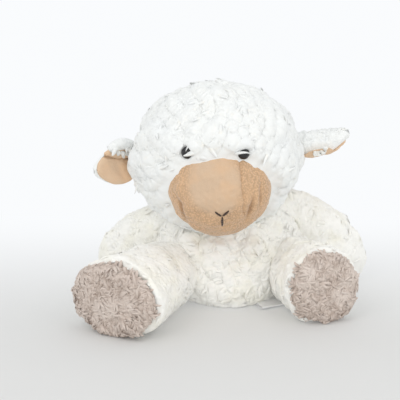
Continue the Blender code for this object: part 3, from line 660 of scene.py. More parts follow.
def fill_socket(tree, socket, value):
    """Give a socket a value, or a link from another node's output."""
    if isinstance(value, bpy.types.NodeSocket):
        tree.links.new(value, socket)
    else:
        socket.default_value = value


def add_node(tree, kind, **sockets):
    """A node with values or links in its named sockets."""
    node = tree.nodes.new(kind)
    for name, value in sockets.items():
        fill_socket(tree, node.inputs[name.title()], value)
    return node


def attribute(tree, name):
    node = tree.nodes.new("ShaderNodeAttribute")
    node.attribute_name = name
    return node.outputs["Fac"]


def arithmetic(tree, operation, *values):
    node = tree.nodes.new("ShaderNodeMath")
    node.operation = operation
    for socket, value in zip(node.inputs, values):
        fill_socket(tree, socket, value)
    return node.outputs[0]


def tone(colour, by=1.0):
    """A colour times a number, or a number for each channel, in the form that a socket takes."""
    return (*(np.array(colour) * by), 1)


def mix_colour(tree, factor, one, two):
    node = tree.nodes.new("ShaderNodeMix")
    node.data_type = "RGBA"
    for index, value in ((0, factor), (6, one), (7, two)):
        fill_socket(tree, node.inputs[index], value)
    return node.outputs[2]


def ranged(tree, value, low, high, to_low=0.0, to_high=1.0):
    """A value carried smoothly from one range to another."""
    node = add_node(tree, "ShaderNodeMapRange", value=value)
    node.interpolation_type = "SMOOTHSTEP"
    for index, number in enumerate((low, high, to_low, to_high), start=1):
        fill_socket(tree, node.inputs[index], number)
    return node.outputs[0]


def object_place(tree):
    return tree.nodes.new("ShaderNodeTexCoord").outputs["Object"]


def noise(tree, scale, detail=3.0, roughness=0.55, vector=None):
    """Noise over places on the object, or over another vector."""
    sockets = {"scale": scale, "detail": detail, "roughness": roughness}
    return add_node(tree, "ShaderNodeTexNoise", vector=vector or object_place(tree), **sockets).outputs[0]


def group(name, inputs, outputs):
    """A new shader node group: (the group, its input node, its output node)."""
    made = bpy.data.node_groups.new(name, "ShaderNodeTree")
    for direction, sockets in (("INPUT", inputs), ("OUTPUT", outputs)):
        for socket, kind in sockets:
            made.interface.new_socket(socket, in_out=direction, socket_type=f"NodeSocket{kind}")
    return made, made.nodes.new("NodeGroupInput"), made.nodes.new("NodeGroupOutput")


def pile_colour_group():
    """Root colour low in the pile, where the mat's creases take it as painted shade over the roots' own
    warmer tone; tip colour at the locks' ends; and soft patches of a third colour.
    """
    if "pile_colour" in bpy.data.node_groups:
        return bpy.data.node_groups["pile_colour"]
    inputs = [("Root", "Color"), ("Tip", "Color"), ("Patch", "Color"), ("Reach", "Float")]
    made, source, result = group("pile_colour", inputs, [("Color", "Color")])
    share = ranged(made, attribute(made, "along"), 0.0, source.outputs["Reach"])
    colour = mix_colour(made, share, source.outputs["Root"], source.outputs["Tip"])
    patches = ranged(made, noise(made, 42.0, 2.0), 0.45, 0.72)
    colour = mix_colour(made, patches, colour, source.outputs["Patch"])
    shaded = made.nodes.new("ShaderNodeVectorMath")
    shaded.operation = "SCALE"
    made.links.new(colour, shaded.inputs[0])
    made.links.new(ranged(made, attribute(made, "tint"), 0.0, 1.0, 0.97, 1.0), shaded.inputs["Scale"])
    made.links.new(shaded.outputs[0], result.inputs["Color"])
    return made


def fibre_group():
    """The height of fine fibres: noise drawn out along each tuft, and finer noise in place."""
    if "fibre_height" in bpy.data.node_groups:
        return bpy.data.node_groups["fibre_height"]
    made, source, result = group("fibre_height", [("Scale", "Float")], [("Height", "Float")])
    strands = made.nodes.new("ShaderNodeCombineXYZ")
    for index, (name, times) in enumerate((("across", 6.0), ("along", 1.6), ("tint", 60.0))):
        made.links.new(arithmetic(made, "MULTIPLY", attribute(made, name), times), strands.inputs[index])
    drawn = noise(made, 1.0, 2.0, 0.6, strands.outputs[0])
    fine = noise(made, source.outputs["Scale"], 2.0, 0.7)
    made.links.new(arithmetic(made, "MULTIPLY_ADD", fine, 0.35, drawn), result.inputs["Height"])
    return made


def new_material(name):
    material = bpy.data.materials.new(name)
    material.use_nodes = True
    return material, material.node_tree, material.node_tree.nodes["Principled BSDF"]


def place_group(tree, made, **sockets):
    """A group in a tree, with values in its named sockets."""
    node = tree.nodes.new("ShaderNodeGroup")
    node.node_tree = made
    for name, value in sockets.items():
        node.inputs[name.title()].default_value = value
    return node.outputs[0]


def coat(tree, shader, colour, roughness, specular=0.5, sheen=0.0, sheen_roughness=0.5):
    """Set how the surface takes light. The last three start as the shader has them."""
    values = (colour, roughness, specular, sheen, sheen_roughness)
    names = ("Base Color", "Roughness", "Specular IOR Level", "Sheen Weight", "Sheen Roughness")
    for name, value in zip(names, values):
        fill_socket(tree, shader.inputs[name], value)


def relief(tree, shader, height, strength, distance):
    """A Bump node from a height to the shader's normal."""
    node = add_node(tree, "ShaderNodeBump", strength=strength, distance=distance, height=height)
    tree.links.new(node.outputs[0], shader.inputs["Normal"])


def pile_material(name, tip, root, patch, reach=0.7):
    """Pile: root to tip colour along each lock, patches of the tip colour by patch, fibres, a sheen."""
    if name in bpy.data.materials:
        return bpy.data.materials[name]
    material, tree, shader = new_material(name)
    tones = {"root": tone(root), "tip": tone(tip), "patch": tone(tip, patch)}
    colour = place_group(tree, pile_colour_group(), reach=reach, **tones)
    coat(tree, shader, colour, roughness=0.95, specular=0.15, sheen=0.1, sheen_roughness=0.6)
    relief(tree, shader, place_group(tree, fibre_group(), scale=900.0), 0.25, 0.0005)
    return material


def head_fleece():
    return pile_material(
        "curly_head_fleece", colours().head_tip, colours().fleece_root_and_crease_shade, patch=(0.985, 0.99, 1.0)
    )


def body_fleece():
    return pile_material(
        "curly_body_fleece", colours().body_tip, colours().fleece_root_and_crease_shade, patch=(0.985, 0.975, 0.93)
    )


def sole_plush():
    return pile_material(
        "wavy_sole_plush", colours().sole_tip, colours().sole_root_and_groove_shade, patch=(1.05, 1.07, 1.08), reach=0.85
    )


def velour(name="brushed_velour", painted_light_gain=1.0):
    """Brushed short pile: nubs of about a millimetre; smoother where smooth_nap_and_highlight is high, and
    paler there as a painted highlight; darker in its folds as painted shade."""
    if name in bpy.data.materials:
        return bpy.data.materials[name]
    material, tree, shader = new_material(name)
    # A gain over one makes a brighter copy of the same velour: painted light
    base = np.array(colours().velour) * painted_light_gain
    smooth_nap_and_highlight = attribute(tree, "along")
    cells = add_node(tree, "ShaderNodeTexVoronoi", scale=560.0, vector=object_place(tree))
    nubs = ranged(tree, cells.outputs["Distance"], 0.15, 0.75, 1.0, 0.0)
    fine = noise(tree, 900.0, 2.0, 0.7)
    cloth = mix_colour(tree, nubs, tone(base, 0.80), tone(base, 1.13))
    # The smooth nap's paler, bluer colour: a painted highlight
    smooth = mix_colour(tree, fine, tone(base, (0.90, 0.99, 1.12)), tone(base, (1.04, 1.18, 1.38)))
    colour = mix_colour(tree, smooth_nap_and_highlight, cloth, smooth)
    worn = ranged(tree, noise(tree, 55.0), 0.35, 0.75, 0.0, 0.5)
    colour = mix_colour(tree, worn, colour, tone(base, (1.10, 1.08, 1.05)))
    # Painted shade in the folds and creases
    folded = ranged(tree, attribute(tree, "tint"), 0.1, 1.0, 0.0, 0.75)
    colour = mix_colour(tree, folded, colour, tone(base, (0.55, 0.48, 0.42)))
    coat(tree, shader, colour, roughness=0.9, specular=0.2, sheen=0.35)
    height = arithmetic(tree, "MULTIPLY", nubs, ranged(tree, smooth_nap_and_highlight, 0.0, 1.0, 1.0, 0.15))
    relief(tree, shader, height, 0.6, 0.0006)
    return material


def eye_plastic():
    """Glossy black plastic with faint scuffs."""
    material, tree, shader = new_material("glossy_eye_plastic")
    scuffs = noise(tree, 700.0, 4.0)
    colour = mix_colour(tree, scuffs, tone(colours().eye, 0.7), tone(colours().eye, 1.6))
    coat(tree, shader, colour, roughness=ranged(tree, scuffs, 0.3, 0.8, 0.10, 0.22))
    return material


def thread():
    """Twisted embroidery thread: ply stripes along its own length."""
    material, tree, shader = new_material("embroidery_thread")
    ply = ranged(tree, attribute(tree, "tint"), 0.2, 0.8)
    colour = mix_colour(tree, ply, tone(colours().thread, 0.6), tone(colours().thread, 1.9))
    coat(tree, shader, colour, roughness=0.55, sheen=0.3)
    relief(tree, shader, ply, 0.5, 0.0002)
    return material


def satin():
    """Blank satin ribbon: fine floats across it, and faint creases."""
    material, tree, shader = new_material("label_satin")
    waves = add_node(tree, "ShaderNodeTexWave", scale=900.0, distortion=1.5, vector=object_place(tree))
    colour = mix_colour(tree, waves.outputs[0], tone(colours().label, 0.93), tone(colours().label))
    coat(tree, shader, colour, roughness=ranged(tree, noise(tree, 160.0), 0.3, 0.8, 0.28, 0.45))
    relief(tree, shader, waves.outputs[0], 0.3, 0.0001)
    return material


def washer_plastic():
    """White moulded plastic with a faint grain."""
    material, tree, shader = new_material("moulded_washer_plastic")
    colour = mix_colour(tree, noise(tree, 400.0), (0.74, 0.74, 0.71, 1), (0.84, 0.84, 0.82, 1))
    coat(tree, shader, colour, roughness=0.5)
    return material


# Pieces


def near_muzzle(points):
    """How far world points lie outside the muzzle, about."""
    return ellipsoid_depth(in_head(points), np.array(sizes().muzzle_centre), np.array(sizes().muzzle_halves))


def eye_places():
    """Each eye's world place on the head and the way that it faces."""
    halves = np.array(sizes().head_halves) + 0.0003
    places = {}
    for side, sign, z in zip(SIDES, (1, -1), sizes().eye_rises):
        x = sign * sizes().eye_spread
        y = -halves[1] * math.sqrt(1 - (x / halves[0]) ** 2 - (z / halves[2]) ** 2)
        point = np.array((x, y, z))
        places[side] = out_of_head(point), head_axes() @ unit(point / halves**2)
    return places


class SHEEP_OT_body(bpy.types.Operator):
    """Add the body, with the neck inside it"""

    bl_idname = "sheep.body"
    bl_label = "Body"

    def execute(self, context):
        shell = body_shell()
        uneven = lumps(shell.rows, (0.0016, 0.034, 11), (0.0008, 0.013, 12))
        shell = shell.puffed(uneven * ease(shell.rows[..., 2], 0.0, 0.012)).on_floor()
        x, y, z = np.moveaxis(shell.rows, -1, 0)
        sag = BELLY_SAG * bump(x + 0.003, 0.036) * (1 - ease(z, 0.006, 0.045)) * ease(-y, 0.0, 0.035)
        shell = Shell(shell.rows - sag[..., None] * BACKWARD, shell.start, shell.end)

        def keep(points):
            clear = ellipsoid_depth(in_head(points), np.zeros(3), np.array(sizes().head_halves)) > -0.004
            return clear & (points[:, 2] > PILE_START)

        pile = Pile(sizes().body_pile, 0.0046, 14000.0, relief=0.0030)
        part = furred(shell, pile, 20, keep)
        nodes = ("body_skin", "body_stuffing", "pellet_bag")
        add_piece("body_fleece", part, body_fleece(), "body", nodes)

        low, high = (np.array(corner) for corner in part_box("neck_stuffing"))
        rows = ball_rows(24, 48, UPWARD) * (high - low) / 2 + (low + high) / 2
        ball = Shell(rows, rows[0].mean(axis=0) + UPWARD * 0.0002, rows[-1].mean(axis=0) - UPWARD * 0.0002)
        ball = ball.puffed(-0.0003 * (1 + field(ball.rows, 0.01, 13) / 3))
        part = (*ball.mesh(), {})
        add_piece("neck_cloth", part, body_fleece(), "neck", ("neck_stuffing",))
        return {"FINISHED"}


def strand(line, radius, segments=10, twist=5.0, taper=0.0):
    """A round thread along a smooth line through points, its ends drawn in; ply stripes in tint.

    Its radius falls along its length: radius (1 - taper s).
    """
    at = np.linspace(0, len(line) - 1, 28)
    spine = np.stack([curve_through(at, np.arange(len(line)), line[:, i]) for i in range(3)], axis=-1)
    ahead = unit(np.gradient(spine, axis=0))
    side = unit(np.cross(ahead, BACKWARD))
    share = np.linspace(0, 1, len(spine))
    wide = radius * (1 - taper * share) * np.sqrt(np.clip(1 - (2 * share - 1) ** 8, 0.12, 1))
    rows = rings(spine, wide, wide, side[:, None], np.cross(ahead, side)[:, None], segments)
    cap = 0.3 * radius
    points, faces = Shell(rows, spine[0] - ahead[0] * cap, spine[-1] + ahead[-1] * cap).mesh()
    stripes = 0.5 + 0.5 * np.sin(share[:, None] * twist * 2 * math.pi + circle(segments))
    return points, faces, {"tint": with_poles(stripes, 0.5)}


def straight(start, end, count):
    """Even shares of a straight line, as a column, and the points there."""
    share = np.linspace(0, 1, count)[:, None]
    return share, np.array(start) * (1 - share) + np.array(end) * share


def eye_tufts():
    """Tapering strands of the pile that cross each eye: lines over a dome that clears the button."""
    parts = []
    for side, (place, facing) in eye_places().items():
        across = unit(np.cross(UPWARD, facing))
        other = np.cross(facing, across)
        for start, end, radius in EYE_TUFTS[side]:
            share, flat = straight(start, end, 7)
            flat = flat + np.array((0.0, 0.0012)) * np.sin(math.pi * share)
            dome = 0.0008 + 0.0060 * np.sqrt(np.clip(1 - (flat**2).sum(-1) / 0.0090**2, 0, 1))
            line = place + flat[:, :1] * across + flat[:, 1:] * other + dome[:, None] * facing
            points, faces, values = strand(line, radius, taper=0.8)
            values["along"] = np.full(len(points), 0.9)
            values["facing"] = unit(points - line.mean(axis=0) + facing * 0.002)
            parts.append((points, faces, values))
    return parts


class SHEEP_OT_head(bpy.types.Operator):
    """Add the head's fleece, parted round the muzzle and the eyes"""

    bl_idname = "sheep.head"
    bl_label = "Head"

    def execute(self, context):
        halves = np.array(sizes().head_halves)
        ends = [out_of_head(np.array((0, 0, z * halves[2]))) for z in (1, -1)]
        shell = Shell(out_of_head(ball_rows(220, 350, UPWARD) * halves), *ends)
        uneven = lumps(shell.rows, (0.0014, 0.040, 31), (0.0008, 0.014, 32))
        shell = shell.puffed(uneven * ease(near_muzzle(shell.rows), -0.004, 0.012))
        eyes = [place for place, _ in eye_places().values()]
        snout = out_of_head(np.array(sizes().muzzle_centre))

        def from_eye(points):
            return np.min([np.linalg.norm(points - place, axis=-1) for place in eyes], axis=0)

        def keep(points):
            return (near_muzzle(points) > 0.0006) & (from_eye(points) > 0.0052)

        def thin(points):
            return ease(near_muzzle(points), -0.002, 0.011) * ease(from_eye(points), 0.0029, 0.0078)

        def comb(points):
            return 2.5 * (unit(points - snout) * (1 - ease(near_muzzle(points), 0.0, 0.012))[:, None])

        mat = {"under": 0.0056, "relief": 0.0023, "tuft": 0.0105}
        pile = Pile(sizes().head_pile, 0.0036, 5500.0, sunk=0.0006, loose=0.0, **mat)
        part = join(furred(shell, pile, 40, keep, comb, thin), *eye_tufts())
        nodes = ("head_skin", "head_stuffing")
        add_piece("head_fleece", part, head_fleece(), "head", nodes)
        return {"FINISHED"}


class SHEEP_OT_muzzle(bpy.types.Operator):
    """Add the velour muzzle, with its seam, its folds in painted shade and the smooth panel over the nose
    with a painted highlight
    """

    bl_idname = "sheep.muzzle"
    bl_label = "Muzzle"

    def execute(self, context):
        halves, centre = np.array(sizes().muzzle_halves), np.array(sizes().muzzle_centre)
        rows = ball_rows(150, 240, -BACKWARD)
        local = rows * halves
        across, ahead, up = np.moveaxis(rows, -1, 0)
        cheek = ease(-across, 0.3, 0.9)
        local[..., 0] *= 1 - 0.09 * ease(-up, 0.2, 1.0) - 0.06 * cheek * ease(-up, -0.3, 0.3)
        local[..., 2] *= 1 + 0.10 * cheek * ease(up, 0.0, 0.5)
        x, z = local[..., 0], local[..., 2]
        front = ease(-ahead, -0.1, 0.5)
        seam = 0.0012 * bump(x - 0.0215 - 0.0006 * np.sin(z * 300), 0.0012) * ease(z, -0.022, -0.012)
        creases = seam
        for depth, place, slope, level, width, middle, reach in FOLDS:
            fold = bump(x - place - slope * (z - level), width) * bump(z - middle, reach)
            creases = creases + depth * fold
        soft = lumps(local, (0.0007, 0.026, 51), (0.0002, 0.006, 52))
        ends = [out_of_head(centre + np.array((0, y * halves[1], 0))) for y in (-1, 1)]
        shell = Shell(out_of_head(centre + local), *ends)
        points, faces = shell.puffed((soft - creases) * front).mesh()
        # The smooth panel over the nose: smoother nap, painted paler as the highlight on the muzzle's top
        edge = np.sqrt(((x + 0.003) / 0.0265) ** 2 + ((z - 0.020) / 0.027) ** 2)
        smooth = (1 - ease(edge, 0.70, 1.15)) * ease(0.0222 - x, 0.0, 0.0016)
        # How deep the creases are, painted as shade in the velour
        painted_crease_shade = np.clip(creases * front / 0.0024, 0, 1)
        part = points, faces, {"along": with_poles(smooth, 0.0), "tint": with_poles(painted_crease_shade, 0.0)}
        add_piece("muzzle_velour", part, velour(), "head", ("muzzle_skin",))
        return {"FINISHED"}


class SHEEP_OT_eyes(bpy.types.Operator):
    """Add the two button eyes, and finish the washers behind them"""

    bl_idname = "sheep.eyes"
    bl_label = "Eyes"

    def execute(self, context):
        radius, shank, reach, edge, dome = sizes().eye_radius, 0.00175, 0.0138, 0.0010, 0.0046
        lift = np.linspace(0, math.pi / 2, 16)[:-1]
        rim = np.linspace(-math.pi / 2, 0, 5)
        skirt, lips = radius * (0.94 + 0.06 * np.cos(rim)), 0.0009 + 0.0009 * np.sin(rim)
        out = np.concatenate([(shank, shank, radius * 0.93), skirt, radius * np.cos(lift)])
        up = np.concatenate([(0.0002 - reach, -0.0002, 0.0), lips, edge + dome * np.sin(lift)])
        button, moulded = eye_plastic(), washer_plastic()
        for side, (place, facing) in eye_places().items():
            across = unit(np.cross(facing, UPWARD))
            rows = rings(place + up[:, None] * facing, out, out, across, np.cross(facing, across), 48)
            shell = Shell(rows, place - facing * reach, place + facing * (edge + dome))
            add_piece(f"button_eye_{side}", (*shell.mesh(), {}), button, "head", (f"eye_{side}",))
            washer = frame["nodes"][f"eye_washer_{side}"]
            washer.data.materials.clear()
            washer.data.materials.append(moulded)
        return {"FINISHED"}


class SHEEP_OT_stitches(bpy.types.Operator):
    """Add the nose's two arms and the mouth's line in embroidery thread"""

    bl_idname = "sheep.stitches"
    bl_label = "Stitches"

    def execute(self, context):
        halves, centre = np.array(sizes().muzzle_halves) + 0.0006, np.array(sizes().muzzle_centre)
        material = thread()
        for name, near, far, node in STITCHES:
            parts = []
            for offset in (-0.0005, 0.0005):
                share, flat = straight(near, far, 5)
                across = unit(np.array((far[1] - near[1], near[0] - far[0])))
                flat = flat + across * offset * np.sin(math.pi * share) - centre[[0, 2]]
                depth = 1 - (flat[:, 0] / halves[0]) ** 2 - (flat[:, 1] / halves[2]) ** 2
                line = np.stack([flat[:, 0], -halves[1] * np.sqrt(depth), flat[:, 1]], axis=-1)
                line[[0, -1], 1] += 0.0004
                parts.append(strand(out_of_head(centre + line), 0.0006))
            add_piece(name, join(*parts), material, "head", (node,))
        return {"FINISHED"}


class Ear:
    """A leaf of two plies. Its own axes are heading, width and facing; it is cupped as it faces."""

    shares = (0.0, 0.08, 0.16, 0.30, 0.46, 0.62, 0.78, 0.90, 0.97, 1.0)
    widths = (0.55, 0.60, 0.72, 0.90, 1.0, 0.97, 0.80, 0.54, 0.28, 0.05)

    def __init__(self, side):
        right = side == "right"
        heading = (-0.76, -0.63, -0.14) if right else (0.96, -0.12, 0.14)
        facing = (0.60, -0.78, 0.10) if right else (0.16, 0.10, -0.98)
        self.length, self.size = sizes().ear_length, sizes().ear_half_width
        self.middle = np.array(JOINTS[f"ear_{side}_flop"]["pos_m"], float)
        self.lip, self.sag, self.sweep = (0.0, 0.0, -0.04) if right else (0.0085, 0.006, 0.0)
        self.heading = unit(heading)
        self.width = unit(np.cross(facing, self.heading))
        self.facing = np.cross(self.heading, self.width)

    def rise(self, along, wide):
        """The middle surface's height: both edges rise towards the side that the leaf faces, by the
        square of their width; the lower edge sags near the head and its lip turns back up."""
        share = wide / self.size
        cup = 0.005 * np.clip(share, -1, 1) ** 2 * np.clip(along / self.size, 0, 1)
        sag = self.sag * ease(share, 0.0, 1.0) * np.clip(1 - along / self.length, 0, 1)
        return cup + sag * ease(along, -0.004, 0.006) - self.lip * ease(share, 0.86, 1.22)

    def place(self, along, wide, thick):
        """Leaf points, from how far they lie along it, across it and off its middle surface."""
        swept = wide + self.sweep * along**2 / self.length
        return (
            self.middle
            + along[..., None] * self.heading
            + swept[..., None] * self.width
            + (thick + self.rise(along, wide))[..., None] * self.facing
        )

    def flat(self, points):
        """The other way: how far world points lie along the leaf, across it and off its surface."""
        away = points - self.middle
        along = away @ self.heading
        wide = away @ self.width - self.sweep * along**2 / self.length
        return along, wide, away @ self.facing - self.rise(along, wide)

    def half(self, share):
        """Half the leaf's width at a share of its length."""
        return curve_through(share, self.shares, self.widths) * self.size

    def ply(self, front):
        """One ply: rings across the leaf, crowned on its outer face and flat on the inner one."""
        share = np.linspace(0.02, 0.99, 44)
        across = np.cos(circle(56))
        if front and self.lip:
            across = np.where(across > 0, across * 1.22, across)
        outer = np.sin(circle(56)) > 0
        crown = np.where(outer, np.sqrt(np.maximum(0, 1 - (across / across.max()) ** 2)), 0.0)
        thick = (1 if front else -1) * (0.00015 + 0.0034 * crown)
        along = share[:, None] * self.length + np.zeros(len(across))
        rows = self.place(along, self.half(share)[:, None] * across, np.tile(thick, (len(share), 1)))
        return Shell(rows, rows[0].mean(axis=0), rows[-1].mean(axis=0) + self.heading * 0.0006)

    def brim(self):
        """The fluff along a folded ear's upper edge: a roll of radius r sqrt(sin(pi s))."""
        share = np.linspace(0, 1, 34)
        along = 0.001 + 0.035 * share
        middles = self.place(along, -self.half(along / self.length) - 0.0022, np.full(len(along), 0.0006))
        radius = 0.0046 * np.sqrt(np.sin(math.pi * (0.06 + 0.88 * share)))
        rows = rings(middles, radius, radius, self.width, self.facing, 48)
        return Shell(rows, middles[0] - 0.001 * self.heading, middles[-1] + 0.001 * self.heading)

    def lining(self):
        """The front ply with its crease or, on a folded ear, its fold: (the surface, the crease)."""
        ply = self.ply(front=True)
        along, local, _ = self.flat(ply.rows)
        bend = np.sin(math.pi * np.clip((along - 0.010) / 0.035, 0, 1))
        line = local - 0.0004 + 0.34 * along - 0.0022 * bend
        crease = bump(line, 0.0012) * ease(along, 0.002, 0.012)
        fold = 0.0 if self.lip else 0.0022 * ease(-line, -0.0004, 0.0022) * ease(along, 0.0, 0.010)
        return ply.puffed(0.0003 * field(ply.rows, 0.012, 62) - 0.0022 * crease + fold), crease

    def fleece(self, lining, number):
        """The furred back, the tufts that hang over the lining and a folded ear's fluff."""
        front, far, deep, under, curl = EAR_LIP if self.lip else EAR_FOLD

        def keep(points):
            along, wide, off = self.flat(points)
            near = (along > 0.002) & (along < far * self.length)
            return near & (off < -deep) & (wide < front * self.size)

        def thin(points):
            _, wide, off = self.flat(points)
            rim = ease(wide / self.size, 0.5, 0.95) if self.lip else 0.0
            return ease(-off, 0.0, 0.0024) * (1 - rim)

        def comb(points):
            wide = np.clip(self.flat(points)[1] / self.size, -1.0, 0.0)
            return self.heading + 0.8 * wide[:, None] * self.width

        def edge(points):
            along, wide, off = self.flat(points)
            share = wide / self.size
            if self.lip:
                return (share > 1.13) & (off > 0.0008) & (along > 0.004) & (along < 0.036)
            return (share < -0.34 - 26 * (along - 0.010)) & (off > 0.0) & (along < 0.033)

        pile = Pile(sizes().body_pile * 0.8, 0.0036, 14000.0, fall=0.2, under=under, relief=curl)
        density = 330000.0 if self.lip else 90000.0
        hem = Pile(0.0060, 0.0042, density, lift=0.0020, sunk=-0.0008, stray=0.5, fall=0.0, flat=0.5)
        places, ways = lining.scatter(hem.density, 64 + number, edge)
        parts = [
            furred(self.ply(front=False), pile, 60 + number, keep, comb, thin),
            locks(places, ways, hem, 66 + number, lambda points: -2.0 * UPWARD + 0.4 * self.heading),
        ]
        if not self.lip:
            fluff = Pile(0.0050, 0.0034, 16000.0, under=0.0012, relief=0.0014, tuft=0.0090)
            parts.append(furred(self.brim(), fluff, 68))
        return join(*parts)


class SHEEP_OT_ears(bpy.types.Operator):
    """Add the ears: fleece backs, and velour linings with a fold along them"""

    bl_idname = "sheep.ears"
    bl_label = "Ears"

    def execute(self, context):
        for number, side in enumerate(SIDES):
            ear, body = Ear(side), f"ear_{side}"
            lining, crease = ear.lining()
            part = ear.fleece(lining, number)
            nodes = (f"ear_back_{side}",)
            add_piece(f"ear_fleece_{side}", part, head_fleece(), body, nodes)
            points, faces = lining.mesh()
            # How deep the crease is, painted as shade in the lining
            painted_crease_shade = with_poles(0.8 * crease, 0.0)
            # The whole lining takes the smooth nap's painted highlight colour
            part = points, faces, {"along": np.ones(len(points)), "tint": painted_crease_shade}
            nodes = (f"ear_lining_{side}",)
            # A brighter copy of the muzzle's velour, as painted light on the linings
            add_piece(f"ear_velour_lit_copy_{side}", part, velour("ear_velour_lit_copy", 1.14), body, nodes)
        return {"FINISHED"}


class SHEEP_OT_arms(bpy.types.Operator):
    """Add the two arms"""

    bl_idname = "sheep.arms"
    bl_label = "Arms"

    def execute(self, context):
        for number, side in enumerate(SIDES):
            shell = arm(side).shell()
            shell = shell.puffed(lumps(shell.rows, (0.0010, 0.024, 71 + number))).on_floor()
            pile = Pile(sizes().body_pile, 0.0044, 11000.0)
            part = furred(shell, pile, 80 + number, lambda points: outside_body(points, 0.006))
            body, nodes = f"arm_{side}", (f"arm_skin_{side}", f"arm_stuffing_{side}")
            add_piece(f"arm_fleece_{side}", part, body_fleece(), body, nodes)
        return {"FINISHED"}


def leg_part(limb, number):
    """A leg's fleece, pressed flat where the sole closes it."""
    out, last = limb.direction(1.0), limb.centre(1.0)

    def beyond(points):
        return (points - last) @ out

    def keep(points):
        return outside_body(points, 0.006) & (beyond(points) < 0.002) & (points[:, 2] > PILE_START)

    def thin(points):
        return 1 - ease(beyond(points), -0.0032, -0.0008)

    shell = limb.shell(rows=80, segments=140)
    free = 1 - ease(beyond(shell.rows), -0.006, -0.002)
    shell = shell.puffed(lumps(shell.rows, (0.0009, 0.026, 91 + number)) * free)
    over = np.maximum(0, beyond(shell.rows) + SOLE_SEAT)
    shell = Shell(shell.rows - over[..., None] * out, shell.start, last - out * SOLE_SEAT).on_floor()
    pile = Pile(sizes().body_pile * 0.95, 0.0044, 12000.0)
    return furred(shell, pile, 95 + number, keep, thin=thin)


def sole_part(limb, number):
    """A leg's sole: a domed disc with wavy plush, whose locks lean in near its edge."""
    out, last = limb.direction(1.0), limb.centre(1.0)

    def front(points):
        return ((points - last) @ out > 0.0004) & (points[:, 2] > 0.0012)

    def rim(points):
        return ease((points - last) @ out, -0.0004, 0.0034)

    def comb(points):
        away = points - last
        away = away - out * (away @ out)[:, None]
        return -0.9 * away / 0.03 * ease(np.linalg.norm(away, axis=-1), 0.018, 0.032)[:, None]

    size = np.linspace(1, 0.03, 24)
    middles = last + (0.0003 + 0.0067 * np.sqrt(1 - size**3))[:, None] * out
    wide, high = size * (limb.across - 0.0014), size * (limb.up - 0.0018)
    rows = rings(middles, wide, high, limb.axis, np.cross(limb.axis, out), 80)
    disc = Shell(rows, last + out * 0.0003, last + out * 0.0071)
    disc = disc.puffed(lumps(disc.rows, (0.0008, 0.016, 97 + number))).on_floor()
    loft = {"lift": 0.0009, "sunk": 0.0002, "relief": 0.0022, "tuft": 0.010, "flat": 0.6}
    lean = {"loose": 0.0, "hook": 0.5, "clump": 0.010, "stray": 0.4, "fall": 0.2}
    pile = Pile(length=sizes().sole_pile, width=0.0029, density=250000.0, **loft, **lean)
    return furred(disc, pile, 98 + number, front, comb, rim)


class SHEEP_OT_legs(bpy.types.Operator):
    """Add the two legs and their plush soles"""

    bl_idname = "sheep.legs"
    bl_label = "Legs and soles"

    def execute(self, context):
        for number, side in enumerate(SIDES):
            limb, body = leg(side), f"leg_{side}"
            part = leg_part(limb, number)
            nodes = (f"leg_skin_{side}", f"leg_stuffing_{side}")
            add_piece(f"leg_fleece_{side}", part, body_fleece(), body, nodes)
            part = sole_part(limb, number)
            nodes = (f"sole_{side}",)
            add_piece(f"sole_plush_{side}", part, sole_plush(), body, nodes)
        return {"FINISHED"}


class SHEEP_OT_tail(bpy.types.Operator):
    """Add the tail"""

    bl_idname = "sheep.tail"
    bl_label = "Tail"

    def execute(self, context):
        droop = math.radians(35)
        heading = BACKWARD * math.cos(droop) - UPWARD * math.sin(droop)
        sections = {"root": 0.009, "across": 0.012, "up": 0.012, "tip": 0.012}
        limb = Limb(joint="tail_lift", heading=heading, length=0.024, bend=0.0, bulge=0.0, **sections)
        shell = limb.shell(rows=24, segments=60)
        shell = shell.puffed(lumps(shell.rows, (0.0006, 0.012, 111)))
        pile = Pile(sizes().body_pile * 0.9, 0.0040, 14000.0)
        part = furred(shell, pile, 112, lambda points: outside_body(points, 0.003))
        add_piece("tail_fleece", part, body_fleece(), "tail", ("tail",))
        return {"FINISHED"}


class SHEEP_OT_label(bpy.types.Operator):
    """Add the blank care label, a ribbon folded once"""

    bl_idname = "sheep.label"
    bl_label = "Label"

    def execute(self, context):
        place, level, low, gap = 0.033, 0.0046, 0.0012, 0.0003
        radius, run, warp, curl = 0.00085, 0.020, 0.0002, 0.0002
        width, depth = body_halves(level / sizes().body_halves[2])
        front = -depth * math.sqrt(1 - (place / width) ** 2)
        heading = unit((place / width**2, front / depth**2, 0.0))
        side = np.cross(heading, UPWARD)
        start = np.array((place, front, low)) + heading * gap
        bend = np.linspace(-math.pi / 2, math.pi / 2, 13)
        flat = np.linspace(0, run, 21)
        out = np.concatenate([flat[:-1], run + radius * np.cos(bend), flat[::-1][1:]])
        tall = np.concatenate([np.zeros(20), radius + radius * np.sin(bend), np.full(20, 2 * radius)])
        tall += 0.00025 + warp * np.sin(out * 260)
        wide = np.linspace(-LABEL_WIDTH / 2, LABEL_WIDTH / 2, 19)
        points = (
            start
            + out[:, None, None] * heading
            + wide[:, None] * side
            + (tall[:, None, None] + curl * np.sin(wide * 200)[:, None]) * UPWARD
        )
        count, columns = points.shape[:2]
        index = np.arange(count * columns).reshape(count, columns)
        quads = np.stack([index[:-1, :-1], index[1:, :-1], index[1:, 1:], index[:-1, 1:]], axis=-1)
        part = points.reshape(-1, 3), [quads.reshape(-1, 4)], {}
        piece = add_piece("label_ribbon", part, satin(), "body", ("care_label",))
        thick = piece.modifiers.new("ribbon", "SOLIDIFY")
        thick.thickness, thick.offset = 0.0003, 0.0
        return {"FINISHED"}


def mix_shaders(tree, share, one, two, output):
    both = tree.nodes.new("ShaderNodeMixShader")
    for socket, value in zip(both.inputs, (share, one, two)):
        tree.links.new(value, socket)
    tree.links.new(both.outputs[0], tree.nodes[output].inputs[0])


